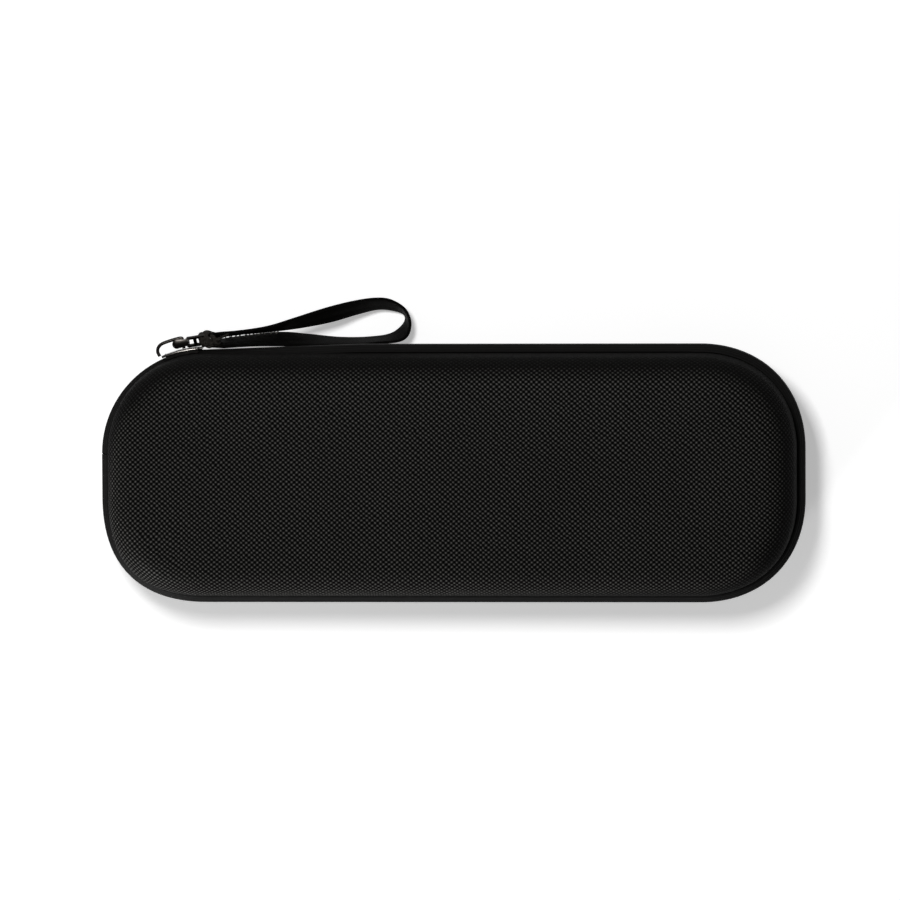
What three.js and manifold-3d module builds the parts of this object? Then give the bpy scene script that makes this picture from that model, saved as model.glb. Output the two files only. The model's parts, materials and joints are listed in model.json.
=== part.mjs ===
// A moulded zip case for an electric toothbrush: two foam shells, a zip that runs round three sides,
// a fabric hinge along the back, and a webbing wrist loop on the zip's puller.
// Millimetres. +X is the case's length, +Y points to the hinge at the back, +Z is up.
// The origin is the centre of the flat underside, on which the case rests.
import * as THREE from "three";
import { mergeVertices } from "three/addons/utils/BufferGeometryUtils.js";
import Module from "manifold-3d";

// Case, measured over the zip
const caseLength = 230;
const caseWidth = 84.5;
const caseHeight = 48;
const cornerRadius = 34;
const zipLine = 24; // height of the parting line

// Shells
const crownInset = 2.7; // how far the shell wall stands back from the zip's outermost line
const shellWall = 3.2;
const edgeHeight = 4.6; // the shell's raw edge, measured from the parting line
const wallLean = 1.1; // draft of the wall, over its straight height
const crownRadius = 10; // the soft round between wall and top
const baseRound = 7; // the round under the base
const crownRise = 0.9; // the lid's top swells by this
const leastRadius = 3;
const riseShares = [0, 0.62, 0.9, 1]; // of the crown's rise, at steps inwards from its round
const riseStep = 5.5;

// Lining
const liningGap = 0.3;
const liningThickness = 0.8;

// Zip
const tapeThickness = 0.6;
const tapeFlangeTop = 0.3; // clearance between the shell's edge and the tape's sewn flange
const tapeFlangeWidth = 1.7;
const tapeFlangeInset = 2.9;
const tapeTurnInset = 1.2; // where the tape's slope turns outwards over the coil
const tapeBendHeight = 2.4;
const tapeFaceHeight = 1.6; // top of the tape's upright face, which hides the coil
const tapeEdgeHeight = 0.8; // the tape's woven edge, from the parting line
const coilInset = 0.9; // the coil lies behind the tape
const coilThickness = 1.2;
const coilOuterHeight = 1.5;
const coilInnerHeight = 0.8;
const toothPitch = 3.2;
const toothWidth = 1.1;
const toothReach = 0.6; // how far a tooth passes the parting line
const toothSide = 0.1;
const cornerDrawIn = 1.8; // the slider pulls the back left corner of the zip in by this
const drawInLength = 51; // along the back edge, from the corner to where it is straight again
const zipRunOn = 3; // the zip ends and the hinge fabric starts this far along the back edge

// Seam binding inside the raw edges
const bindingGap = 0.3;
const bindingThickness = 1.2;
const bindingHeight = 3;

// Hinge fabric
const hingeBulgeHeight = 1.3;
const hingeBulgeInset = 0.25;
const hingeThickness = 0.8;

// End stops at the zip's far end
const stopLength = 2.2;
const stopOverlap = 0.3;

// Slider
const sliderAngle = 12.5; // its centre, in degrees round the corner from the back
const sliderLength = 13.4;
const plateGap = 0.2;
const plateThickness = 0.8;
const plateHalf = 4.0;
const flangeThickness = 0.9;
const flangeReach = 1.0;
const flangeGap = 0.1; // above the tape's bend
const innerPlateGap = 0.4;
const innerPlateThickness = 1.0;
const innerPlateHalf = 2.0;
const neckHalf = 0.6;
const neckLength = 2.8;
const neckOffset = 0.9; // from the slider's front end
const plateCut = 1.2; // corners of the plates

// Bail, a wire bridge on the slider
const wireRadius = 0.5;
const bailHeight = 3.65; // to the wire's centre line, above the plate
const bailFootGap = 0.3;
const bailRear = 6.6; // rear leg, behind the puller's pivot
const bailFront = 1.75; // front leg, before the pivot

// Puller
const pivotAngle = 14.2;
const pivotHeight = 2.0; // above the plate
const pullerTurn = 9; // degrees, direction of the puller from +X towards +Y
const pivotRadius = 0.8;
const headWidth = 3.0;
const headHeight = 3.9;
const forkGap = 1.7;
const forkDepth = 2.75;
const headLength = 3.9;
const tabStart = 2.9;
const tabEnd = 9.6;
const tabWidth = 3.8;
const tabThickness = 1.0;
const tabTilt = 35; // degrees from lying flat
const windowStart = 3.5;
const windowEnd = 5.4;
const slotStart = 6.5;
const slotEnd = 8.4;
const slotWidth = 2.4;

// Wrist strap
const webbingWidth = 7;
const webbingThickness = 1.0;
const foldStart = 6.7; // along the puller, from its pivot
const foldLength = 6.4;
const foldWidth = 5.0;
const foldHeight = 5.4;
const foldDrop = 0.4;
const foldClearance = 0.3;
const foldBridge = 0.9;
const loopReach = 63; // from the fold to the far end of the loop
const loopSpread = 16.4; // from the case to the outermost edge
const loopDrop = 19.4; // from the fold down to the far end

// Brush straps in the base
const brushStrapWidth = 16;
const brushStrapThickness = 1.2;
const brushStrapPlace = 45;
const brushStrapHeight = 13.2;
const brushStrapBow = 2.2;
const brushStrapTab = 5;

// Net pocket in the lid
const pocketHeight = 8; // above the parting line
const netThickness = 0.6;
const netFront = -10;
const netStrand = 1.6;
const netColumns = 12;
const netRows = 4;
const hemWidth = 4;
const hemThickness = 1.4;
const pocketBindingWidth = 3;
const pocketBindingThickness = 1.2;
const seatGap = 0.3;

// Facets
const cornerSteps = 9;
const roundSteps = 5;
const liningRoundSteps = 3;
const wireSteps = 22;
const wireSides = 7;
const strapSteps = 44;
const cutOverrun = 1;

const halfLength = caseLength / 2;
const halfWidth = caseWidth / 2;
const cornerX = halfLength - cornerRadius;
const cornerY = halfWidth - cornerRadius;
const drawInEnd = cornerX - drawInLength;
const zipEnd = cornerX - zipRunOn;
const lidTop = caseHeight - zipLine;
const quarter = Math.PI / 2;

const wasm = await Module();
wasm.setup();

// Materials
function material(color, roughness, metalness) {
  return new THREE.MeshStandardMaterial({ color, roughness, metalness });
}
const coverFabric = material(0x1b1b1c, 0.9, 0);
const liningFabric = material(0x232325, 0.95, 0);
const tapeFabric = material(0x141415, 0.85, 0);
const coilNylon = material(0x18181a, 0.5, 0);
const bindingFabric = material(0x161617, 0.9, 0);
const gunmetal = material(0x4a4b4f, 0.32, 0.9);
const webbing = material(0x19191a, 0.85, 0);
const elastic = material(0x1d1d1f, 0.9, 0);
const netFabric = material(0x202022, 0.9, 0);

// Solids
function meshData(geometry) {
  const bare = geometry.clone();
  bare.deleteAttribute("normal");
  bare.deleteAttribute("uv");
  const merged = mergeVertices(bare, 1e-4);
  return new wasm.Mesh({
    numProp: 3,
    vertProperties: new Float32Array(merged.attributes.position.array),
    triVerts: new Uint32Array(merged.index.array),
  });
}

function solid(geometry) {
  return new wasm.Manifold(meshData(geometry));
}

function geometryOf(made) {
  const mesh = made.getMesh();
  const geometry = new THREE.BufferGeometry();
  geometry.setAttribute("position", new THREE.BufferAttribute(mesh.vertProperties, 3));
  geometry.setIndex(new THREE.BufferAttribute(mesh.triVerts, 1));
  return geometry;
}

// Faces are turned to point outwards when the volume that they enclose comes out negative.
function outward(points, faces) {
  const volume = faces.reduce((sum, [a, b, c]) => {
    return sum + points[a].dot(points[b].clone().cross(points[c]));
  }, 0);
  const turned = volume < 0 ? faces.map(([a, b, c]) => [a, c, b]) : faces;
  const geometry = new THREE.BufferGeometry().setFromPoints(points);
  geometry.setIndex(turned.flat());
  return geometry;
}

// A skin over rings of the same number of points, closed at both ends.
function loft(rings, capFaces) {
  const count = rings[0].length;
  const faces = [];
  for (let ring = 0; ring + 1 < rings.length; ring += 1) {
    for (let i = 0; i < count; i += 1) {
      const a = ring * count + i;
      const b = ring * count + ((i + 1) % count);
      faces.push([a, b, b + count], [a, b + count, a + count]);
    }
  }
  const last = (rings.length - 1) * count;
  for (const [a, b, c] of capFaces) {
    faces.push([a, c, b], [last + a, last + b, last + c]);
  }
  return outward(rings.flat(), faces);
}

// Triangles over an outline, wound the same way as the outline's own points.
function capOf(points) {
  const clockwise = THREE.ShapeUtils.isClockWise(points);
  return THREE.ShapeUtils.triangulateShape(points, []).map(([a, b, c]) => {
    const same = THREE.ShapeUtils.isClockWise([points[a], points[b], points[c]]) === clockwise;
    return same ? [a, b, c] : [a, c, b];
  });
}

// Outlines
function roundedLoop(inset, steps) {
  const radius = Math.max(cornerRadius - inset, leastRadius);
  const centreX = halfLength - inset - radius;
  const centreY = halfWidth - inset - radius;
  const points = [];
  for (const [signX, signY, start] of [[1, 1, 0], [-1, 1, 1], [-1, -1, 2], [1, -1, 3]]) {
    for (let i = 0; i <= steps; i += 1) {
      const angle = (start + i / steps) * quarter;
      points.push(
        new THREE.Vector2(
          signX * centreX + radius * Math.cos(angle),
          signY * centreY + radius * Math.sin(angle),
        ),
      );
    }
  }
  return points;
}

// A round in a profile, from a vertical wall to a flat top, as inset and height pairs.
function roundProfile(inset, top, radius, steps) {
  const pairs = [];
  for (let i = 0; i <= steps; i += 1) {
    const angle = (i / steps) * quarter;
    pairs.push([
      inset + radius * (1 - Math.cos(angle)),
      top - radius * (1 - Math.sin(angle)),
    ]);
  }
  return pairs;
}

// A bowl that opens towards the parting line. Heights are measured away from that line,
// and side is 1 for the lid and -1 for the base.
function bowl({ side, inset, thickness, edge, top, radius, rise, steps, facets }) {
  const step = (share, i, shift) => [
    inset + wallLean + radius + i * riseStep,
    top + shift + rise * share,
  ];
  const swell = rise > 0 ? riseShares.slice(1) : [];
  const outer = [
    [inset, edge],
    ...roundProfile(inset + wallLean, top, radius, steps),
    ...swell.map((share, i) => step(share, i + 1, 0)),
  ];
  const inner = [
    [inset + thickness, edge],
    ...roundProfile(inset + wallLean + thickness, top - thickness, radius - thickness, steps),
    ...swell.map((share, i) => step(share, i + 1, -thickness)),
  ];
  const profile = [...outer.reverse(), ...inner];
  const rings = profile.map(([r, h]) =>
    roundedLoop(r, facets).map((p) => new THREE.Vector3(p.x, p.y, zipLine + side * h)),
  );
  return loft(rings, capOf(roundedLoop(profile[0][0], facets)));
}

// The zip's route, seen from above, as lines and arcs. An arc's angles are those of its outward
// normal. It starts beside the hinge at the back left and ends beside it at the back right.
const drawnY = cornerY - cornerDrawIn;
function backEdge(x) {
  const share = THREE.MathUtils.clamp((-drawInEnd - x) / (cornerX - drawInEnd), 0, 1);
  return halfWidth - cornerDrawIn * share;
}

function arc(centreX, centreY, from) {
  const length = cornerRadius * quarter;
  return { arc: true, centreX, centreY, from, length };
}

function line(fromX, fromY, toX, toY) {
  const length = Math.hypot(toX - fromX, toY - fromY);
  return { arc: false, fromX, fromY, toX, toY, length };
}

const zipRoute = [
  line(-zipEnd, backEdge(-zipEnd), -cornerX, backEdge(-cornerX)),
  arc(-cornerX, drawnY, quarter),
  line(-halfLength, drawnY, -halfLength, -cornerY),
  arc(-cornerX, -cornerY, 2 * quarter),
  line(-cornerX, -halfWidth, cornerX, -halfWidth),
  arc(cornerX, -cornerY, 3 * quarter),
  line(halfLength, -cornerY, halfLength, cornerY),
  arc(cornerX, cornerY, 4 * quarter),
  line(cornerX, halfWidth, zipEnd, halfWidth),
];
const hingeRoute = [
  line(zipEnd, halfWidth, -drawInEnd, halfWidth),
  line(-drawInEnd, halfWidth, -zipEnd, backEdge(-zipEnd)),
];
const zipLength = zipRoute.reduce((sum, part) => sum + part.length, 0);
const slackLength = zipRoute[0].length + zipRoute[1].length; // the stretch that the slider opens

// A place on a route: position and outward normal at a distance from its start.
function along(route, distance) {
  let rest = distance;
  for (const part of route) {
    if (rest > part.length && part !== route.at(-1)) {
      rest -= part.length;
      continue;
    }
    if (part.arc) {
      const angle = part.from + rest / cornerRadius;
      const normal = new THREE.Vector2(Math.cos(angle), Math.sin(angle));
      const centre = new THREE.Vector2(part.centreX, part.centreY);
      return { point: centre.addScaledVector(normal, cornerRadius), normal };
    }
    const share = rest / part.length;
    const point = new THREE.Vector2(
      THREE.MathUtils.lerp(part.fromX, part.toX, share),
      THREE.MathUtils.lerp(part.fromY, part.toY, share),
    );
    const normal = new THREE.Vector2(
      (part.toY - part.fromY) / part.length,
      (part.fromX - part.toX) / part.length,
    );
    return { point, normal };
  }
  return null;
}

// Distances where a route needs a station: its joints, and steps round its arcs.
function stationsOf(route, from, to, steps) {
  const marks = [from];
  let start = 0;
  for (const part of route) {
    const count = part.arc ? steps : 1;
    for (let i = 1; i <= count; i += 1) {
      marks.push(start + (part.length * i) / count);
    }
    start += part.length;
  }
  const inside = marks.filter((mark, i) => i === 0 || (mark > from && mark < to));
  return [...inside, to].map((mark) => along(route, mark));
}

function place({ point, normal }, inset, height) {
  return new THREE.Vector3(point.x - normal.x * inset, point.y - normal.y * inset, zipLine + height);
}

// A section of inset and height pairs, carried along stations.
function sweep(stations, section, side = 1) {
  const rings = stations.map((station) => section.map(([r, h]) => place(station, r, side * h)));
  return loft(rings, capOf(section.map(([r, h]) => new THREE.Vector2(r, h))));
}

// Boxes and plates
function prism(outline, low, high) {
  const shape = new THREE.Shape(outline);
  const geometry = new THREE.ExtrudeGeometry(shape, {
    depth: high - low,
    bevelEnabled: false,
    curveSegments: cornerSteps,
  });
  return geometry.translate(0, 0, low);
}

function block(lowX, highX, lowY, highY, lowZ, highZ) {
  const geometry = new THREE.BoxGeometry(highX - lowX, highY - lowY, highZ - lowZ);
  const middle = [(lowX + highX) / 2, (lowY + highY) / 2, (lowZ + highZ) / 2];
  return geometry.translate(...middle);
}

const group = new THREE.Group();
function piece(parent, name, geometry, pieceMaterial) {
  const mesh = new THREE.Mesh(geometry, pieceMaterial);
  mesh.name = name;
  parent.add(mesh);
  return mesh;
}

// Shells and linings
const base = new THREE.Group();
const lid = new THREE.Group();
group.add(base, lid);

const shellShape = {
  inset: crownInset,
  thickness: shellWall,
  edge: edgeHeight,
  steps: roundSteps,
  facets: cornerSteps,
};
const liningInset = crownInset + shellWall + liningGap;
const liningShape = {
  inset: liningInset,
  thickness: liningThickness,
  edge: edgeHeight,
  steps: liningRoundSteps,
  facets: cornerSteps,
};
const liningDepth = shellWall + liningGap;

piece(
  base,
  "base_shell",
  bowl({ ...shellShape, side: -1, top: zipLine, radius: baseRound, rise: 0 }),
  coverFabric,
);
piece(
  base,
  "base_lining",
  bowl({
    ...liningShape,
    side: -1,
    top: zipLine - liningDepth,
    radius: baseRound - liningDepth,
    rise: 0,
  }),
  liningFabric,
);
piece(
  lid,
  "lid_shell",
  bowl({ ...shellShape, side: 1, top: lidTop - crownRise, radius: crownRadius, rise: crownRise }),
  coverFabric,
);
piece(
  lid,
  "lid_lining",
  bowl({
    ...liningShape,
    side: 1,
    top: lidTop - crownRise - liningDepth,
    radius: crownRadius - liningDepth,
    rise: 0,
  }),
  liningFabric,
);

// Zip tapes: a sewn flange under the shell's edge, a slope outwards, and an upright face over the coil
const flangeTop = edgeHeight - tapeFlangeTop;
const flangeBottom = flangeTop - tapeThickness;
const tapeSection = [
  [tapeFlangeInset, flangeTop],
  [tapeTurnInset, tapeBendHeight],
  [0, tapeFaceHeight],
  [0, tapeEdgeHeight],
  [tapeThickness, tapeEdgeHeight],
  [tapeThickness, tapeFaceHeight - tapeThickness / 2],
  [tapeTurnInset + (2 * tapeThickness) / 3, tapeBendHeight - (3 * tapeThickness) / 4],
  [tapeFlangeInset + tapeThickness / 3, flangeBottom],
  [tapeFlangeInset + tapeFlangeWidth, flangeBottom],
  [tapeFlangeInset + tapeFlangeWidth, flangeTop],
];
const railSection = [
  [coilInset, coilOuterHeight - 2 * toothSide],
  [coilInset, coilInnerHeight],
  [coilInset + coilThickness, coilInnerHeight],
  [coilInset + coilThickness, coilOuterHeight],
  [coilInset + 3 * toothSide, coilOuterHeight],
];

// A tooth of the coil: a tapered block across the parting line.
function tooth(distance, side) {
  const { point, normal } = along(zipRoute, distance);
  const tangent = new THREE.Vector2(-normal.y, normal.x);
  const corner = (share, half, height, inset) =>
    place({ point: point.clone().addScaledVector(tangent, share * half), normal }, inset, side * height);
  const root = coilInnerHeight + toothSide;
  const ring = (height, half, shrink) => [
    corner(-1, half, height, coilInset + toothSide + shrink),
    corner(1, half, height, coilInset + toothSide + shrink),
    corner(1, half, height, coilInset + coilThickness - toothSide - shrink),
    corner(-1, half, height, coilInset + coilThickness - toothSide - shrink),
  ];
  const rings = [
    ring(root, toothWidth / 2, 0),
    ring(-toothReach, toothWidth / 2 - toothSide, toothSide),
  ];
  return loft(rings, [[0, 1, 2], [0, 2, 3]]);
}

// One half of the coil, with a tooth at every pitch between two distances.
function coil(side, from, to, firstTooth, lastTooth) {
  const rail = sweep(stationsOf(zipRoute, from, to, cornerSteps), railSection, side);
  let made = solid(rail);
  const shift = side > 0 ? toothPitch / 2 : 0;
  const first = Math.ceil((firstTooth - shift) / toothPitch);
  const last = Math.floor((lastTooth - shift) / toothPitch);
  for (let i = first; i <= last; i += 1) {
    made = made.add(solid(tooth(i * toothPitch + shift, side)));
  }
  return made;
}

const endGap = seatGap / 2;
const toothMargin = toothWidth;
const stopPlace = zipLength - stopLength;
const sliderStart = zipRoute[0].length + THREE.MathUtils.degToRad(sliderAngle) * cornerRadius;
const sliderFront = sliderStart - sliderLength / 2;
const neckEnd = sliderFront + neckOffset + neckLength;

piece(
  base,
  "base_zipper_tape",
  sweep(stationsOf(zipRoute, 0, zipLength, cornerSteps), tapeSection, -1),
  tapeFabric,
);
piece(
  base,
  "base_zipper_coil",
  geometryOf(
    coil(-1, slackLength + endGap, stopPlace - endGap, slackLength + toothMargin, stopPlace - toothMargin),
  ),
  coilNylon,
);
piece(
  base,
  "base_zipper_coil_end",
  geometryOf(coil(-1, 0, slackLength - endGap, neckEnd + toothMargin, slackLength - toothMargin)),
  coilNylon,
);
piece(
  lid,
  "lid_zipper_tape",
  sweep(stationsOf(zipRoute, slackLength + endGap, zipLength, cornerSteps), tapeSection, 1),
  tapeFabric,
);
piece(
  lid,
  "lid_zipper_coil",
  geometryOf(
    coil(1, slackLength + endGap, stopPlace - endGap, slackLength + toothMargin, stopPlace - toothMargin),
  ),
  coilNylon,
);

// The lid's last stretch of tape and coil, which bends away when the lid is lifted
function lidZipEnd() {
  const tape = solid(sweep(stationsOf(zipRoute, 0, slackLength - endGap, cornerSteps), tapeSection, 1));
  const weld = [
    [tapeTurnInset + toothSide, coilOuterHeight - toothSide],
    [coilInset + coilThickness - toothSide, coilOuterHeight - toothSide],
    [coilInset + coilThickness - toothSide, tapeBendHeight + toothSide],
    [tapeTurnInset + toothSide, tapeBendHeight - tapeThickness / 2],
  ];
  const stations = stationsOf(zipRoute, toothSide, slackLength - endGap - toothSide, cornerSteps);
  const half = coil(1, 0, slackLength - endGap, neckEnd + toothMargin, slackLength - toothMargin);
  return geometryOf(tape.add(half).add(solid(sweep(stations, weld, 1))));
}
piece(lid, "lid_zipper_end", lidZipEnd(), tapeFabric);

// Metal stops clamped round each half of the coil at its far end
function endStop(side) {
  const stations = stationsOf(zipRoute, stopPlace + endGap, zipLength, cornerSteps);
  const section = [
    [coilInset - 2 * toothSide, coilInnerHeight - stopOverlap],
    [coilInset + coilThickness + toothSide, coilInnerHeight - stopOverlap],
    [coilInset + coilThickness + toothSide, coilOuterHeight],
    [coilInset + 3 * toothSide, coilOuterHeight],
    [coilInset - 2 * toothSide, coilOuterHeight - stopOverlap],
  ];
  return sweep(stations, section, side);
}
piece(base, "base_end_stop", endStop(-1), gunmetal);
piece(lid, "lid_end_stop", endStop(1), gunmetal);

// Seam bindings: a folded tape inside each raw edge, standing on the lining and leaning with it
function seamBinding(side) {
  const inner = liningInset + liningThickness + bindingGap;
  const wallTop = side > 0 ? lidTop - crownRise - crownRadius : zipLine - baseRound;
  const low = edgeHeight - tapeFlangeTop;
  const high = low + bindingHeight;
  const lean = (wallLean * (high - edgeHeight)) / (wallTop - edgeHeight);
  const rings = [
    [inner, low],
    [inner + bindingThickness, low + bindingThickness / 3],
    [inner + bindingThickness + lean, high],
    [inner + lean, high],
  ].map(([r, h]) =>
    roundedLoop(r, cornerSteps).map((p) => new THREE.Vector3(p.x, p.y, zipLine + side * h)),
  );
  return ringLoft(rings);
}

// A ring-shaped solid: the rings close on the first again.
function ringLoft(rings) {
  const count = rings[0].length;
  const faces = [];
  for (let ring = 0; ring < rings.length; ring += 1) {
    const next = (ring + 1) % rings.length;
    for (let i = 0; i < count; i += 1) {
      const j = (i + 1) % count;
      const a = ring * count + i;
      const b = ring * count + j;
      const c = next * count + j;
      const d = next * count + i;
      faces.push([a, b, c], [a, c, d]);
    }
  }
  return outward(rings.flat(), faces);
}
piece(base, "base_seam_binding", seamBinding(-1), bindingFabric);
piece(lid, "lid_seam_binding", seamBinding(1), bindingFabric);

// Hinge: a strip of fabric along the back, sewn under both shells' edges and bulging between them
function hingeFabric() {
  const half = [
    [tapeFlangeInset, flangeTop],
    [hingeBulgeInset, hingeBulgeHeight],
  ];
  const backHalf = [
    [hingeBulgeInset + hingeThickness, hingeBulgeHeight],
    [tapeFlangeInset + hingeThickness / 3, flangeBottom],
    [tapeFlangeInset + tapeFlangeWidth, flangeBottom],
    [tapeFlangeInset + tapeFlangeWidth, flangeTop],
  ];
  const mirrored = (pairs) => pairs.map(([r, h]) => [r, -h]).reverse();
  const section = [
    ...half,
    [0, 0],
    ...mirrored(half),
    ...mirrored(backHalf),
    [hingeThickness, 0],
    ...backHalf,
  ];
  const length = hingeRoute.reduce((sum, part) => sum + part.length, 0);
  return sweep(stationsOf(hingeRoute, seatGap, length - seatGap, cornerSteps), section);
}
piece(base, "hinge_fabric", hingeFabric(), bindingFabric);

// Elastic straps that hold the brush down in the base
function brushStrap(middle) {
  const reach = halfWidth - liningInset - liningThickness - wallLean - seatGap;
  const top = brushStrapHeight + brushStrapThickness;
  const shape = new THREE.Shape();
  shape.moveTo(-reach, brushStrapHeight - brushStrapTab);
  shape.lineTo(-reach + brushStrapThickness, brushStrapHeight - brushStrapTab);
  shape.lineTo(-reach + brushStrapThickness, brushStrapHeight);
  shape.quadraticCurveTo(
    0,
    brushStrapHeight + 2 * brushStrapBow,
    reach - brushStrapThickness,
    brushStrapHeight,
  );
  shape.lineTo(reach - brushStrapThickness, brushStrapHeight - brushStrapTab);
  shape.lineTo(reach, brushStrapHeight - brushStrapTab);
  shape.lineTo(reach, top);
  shape.quadraticCurveTo(0, top + 2 * brushStrapBow, -reach, top);
  const geometry = new THREE.ExtrudeGeometry(shape, {
    depth: brushStrapWidth,
    bevelEnabled: false,
    curveSegments: cornerSteps,
  });
  geometry.rotateX(quarter).rotateZ(quarter);
  return geometry.translate(middle - brushStrapWidth / 2, 0, 0);
}
piece(base, "brush_strap_left", brushStrap(-brushStrapPlace), elastic);
piece(base, "brush_strap_right", brushStrap(brushStrapPlace), elastic);

// Net pocket in the lid
const pocketInset = liningInset + liningThickness + wallLean + seatGap;
const pocketLow = zipLine + pocketHeight;

// The back corners of a rounded outline, closed along a line across its straight sides.
function behind(inset, front) {
  const all = roundedLoop(inset, cornerSteps).filter((p) => p.y > 0);
  const right = all.filter((p) => p.x > 0).sort((a, b) => a.y - b.y);
  const left = all.filter((p) => p.x < 0).sort((a, b) => b.y - a.y);
  return [
    new THREE.Vector2(right[0].x, front),
    ...right,
    ...left,
    new THREE.Vector2(left.at(-1).x, front),
  ];
}

function pocketBinding() {
  const low = pocketLow - pocketBindingThickness / 4;
  const outer = solid(prism(behind(pocketInset, netFront), low, low + pocketBindingThickness));
  const inner = behind(pocketInset + pocketBindingWidth, netFront - cutOverrun);
  const cut = prism(inner, low - cutOverrun, low + pocketBindingThickness + cutOverrun);
  return geometryOf(outer.subtract(solid(cut)));
}

function pocketNet() {
  const inset = pocketInset + pocketBindingWidth + seatGap;
  const reachX = halfLength - inset;
  const backY = halfWidth - inset;
  const pitchX = (2 * reachX - netStrand) / netColumns;
  const pitchY = (backY - netFront - netStrand) / netRows;
  const bound = cornerRadius - inset - netStrand;
  const low = pocketLow - cutOverrun;
  const high = pocketLow + netThickness + cutOverrun;
  let net = solid(prism(behind(inset, netFront), pocketLow, pocketLow + netThickness));
  for (let column = 0; column < netColumns; column += 1) {
    for (let row = 0; row < netRows; row += 1) {
      const lowX = -reachX + netStrand + column * pitchX;
      const lowY = netFront + netStrand + row * pitchY;
      const highX = lowX + pitchX - netStrand;
      const highY = lowY + pitchY - netStrand;
      const farX = Math.max(Math.abs(lowX), Math.abs(highX)) - cornerX;
      const farY = highY - cornerY;
      if (farX > 0 && farY > 0 && Math.hypot(farX, farY) > bound) continue;
      net = net.subtract(solid(block(lowX, highX, lowY, highY, low, high)));
    }
  }
  return geometryOf(net);
}

function pocketHem() {
  const reach = halfLength - pocketInset - seatGap;
  const front = netFront - seatGap - hemWidth;
  return block(-reach, reach, front, netFront - seatGap, pocketLow, pocketLow + hemThickness);
}
piece(lid, "pocket_binding", pocketBinding(), bindingFabric);
piece(lid, "pocket_net", pocketNet(), netFabric);
piece(lid, "pocket_hem", pocketHem(), elastic);

// Slider: an outer plate with flanges, an inner plate, and the neck that joins them between the tapes
function sliderBody() {
  const end = sliderFront + sliderLength;
  const route = (from, to) => stationsOf(zipRoute, from, to, 2 * cornerSteps);
  const face = -plateGap - plateThickness;
  const bevel = plateThickness / 3;
  const plate = [
    [face, plateHalf - bevel],
    [face + bevel, plateHalf],
    [-plateGap, plateHalf],
    [-plateGap, -plateHalf],
    [face + bevel, -plateHalf],
    [face, -plateHalf + bevel],
  ];
  const flangeInner = tapeBendHeight + flangeGap;
  const flange = (side) => [
    [-plateGap - toothSide, side * flangeInner],
    [flangeReach, side * flangeInner],
    [flangeReach, side * (flangeInner + flangeThickness)],
    [-plateGap - toothSide, side * (flangeInner + flangeThickness)],
  ];
  const innerFace = coilInset + coilThickness + innerPlateGap;
  const inner = [
    [innerFace, innerPlateHalf],
    [innerFace, -innerPlateHalf],
    [innerFace + innerPlateThickness, -innerPlateHalf + bevel],
    [innerFace + innerPlateThickness, innerPlateHalf - bevel],
  ];
  const neck = [
    [-plateGap - toothSide, neckHalf],
    [-plateGap - toothSide, -neckHalf],
    [innerFace + toothSide, -neckHalf],
    [innerFace + toothSide, neckHalf],
  ];
  const neckStart = sliderFront + neckOffset;
  const cut = plateCut;
  let made = solid(sweep(route(sliderFront + cut, end - cut), plate));
  const narrow = plate.map(([r, h]) => [r, h * (1 - cut / plateHalf)]);
  made = made.add(solid(sweep(route(sliderFront, end), narrow)));
  made = made.add(solid(sweep(route(sliderFront + cut, end - cut), flange(1))));
  made = made.add(solid(sweep(route(sliderFront + cut, end - cut), flange(-1))));
  made = made.add(solid(sweep(route(sliderFront, end - cut), inner)));
  return made.add(solid(sweep(route(neckStart, neckStart + neckLength), neck)));
}

// A point beside the slider's outer plate: height above it, at an angle round the corner.
const cornerCentre = new THREE.Vector3(-cornerX, drawnY, zipLine);
const plateRadius = cornerRadius + plateGap + plateThickness;
function besidePlate(shift, height) {
  const angle = quarter + THREE.MathUtils.degToRad(pivotAngle) + shift / plateRadius;
  const reach = plateRadius + height;
  return new THREE.Vector3(Math.cos(angle) * reach, Math.sin(angle) * reach, 0).add(cornerCentre);
}

function sliderBail() {
  const shoulder = wireRadius * 2;
  const curve = new THREE.CatmullRomCurve3([
    besidePlate(bailRear, bailFootGap),
    besidePlate(bailRear, bailHeight / 2),
    besidePlate(bailRear - shoulder, bailHeight - shoulder / 2),
    besidePlate(bailRear - 3 * shoulder, bailHeight),
    besidePlate(shoulder / 2 - bailFront, bailHeight),
    besidePlate(-bailFront, bailHeight - shoulder),
    besidePlate(-bailFront, bailFootGap),
  ]);
  const circle = new THREE.Shape();
  for (let i = 0; i < wireSides; i += 1) {
    const angle = (i / wireSides) * 4 * quarter;
    const corner = [wireRadius * Math.cos(angle), wireRadius * Math.sin(angle)];
    if (i === 0) circle.moveTo(...corner);
    else circle.lineTo(...corner);
  }
  return new THREE.ExtrudeGeometry(circle, { steps: wireSteps, extrudePath: curve });
}

// Puller: a forked head on a pivot bar inside the bail, and a tilted tab with a window and a slot
const pivotPoint = besidePlate(0, pivotHeight);
const pullerFrame = new THREE.Matrix4()
  .makeRotationZ(THREE.MathUtils.degToRad(pullerTurn))
  .setPosition(pivotPoint);
const tiltTab = new THREE.Matrix4().makeRotationX(THREE.MathUtils.degToRad(tabTilt));

function tabBlock(from, to, width, thickness) {
  return block(from, to, -width / 2, width / 2, -thickness / 2, thickness / 2).applyMatrix4(tiltTab);
}

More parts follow.
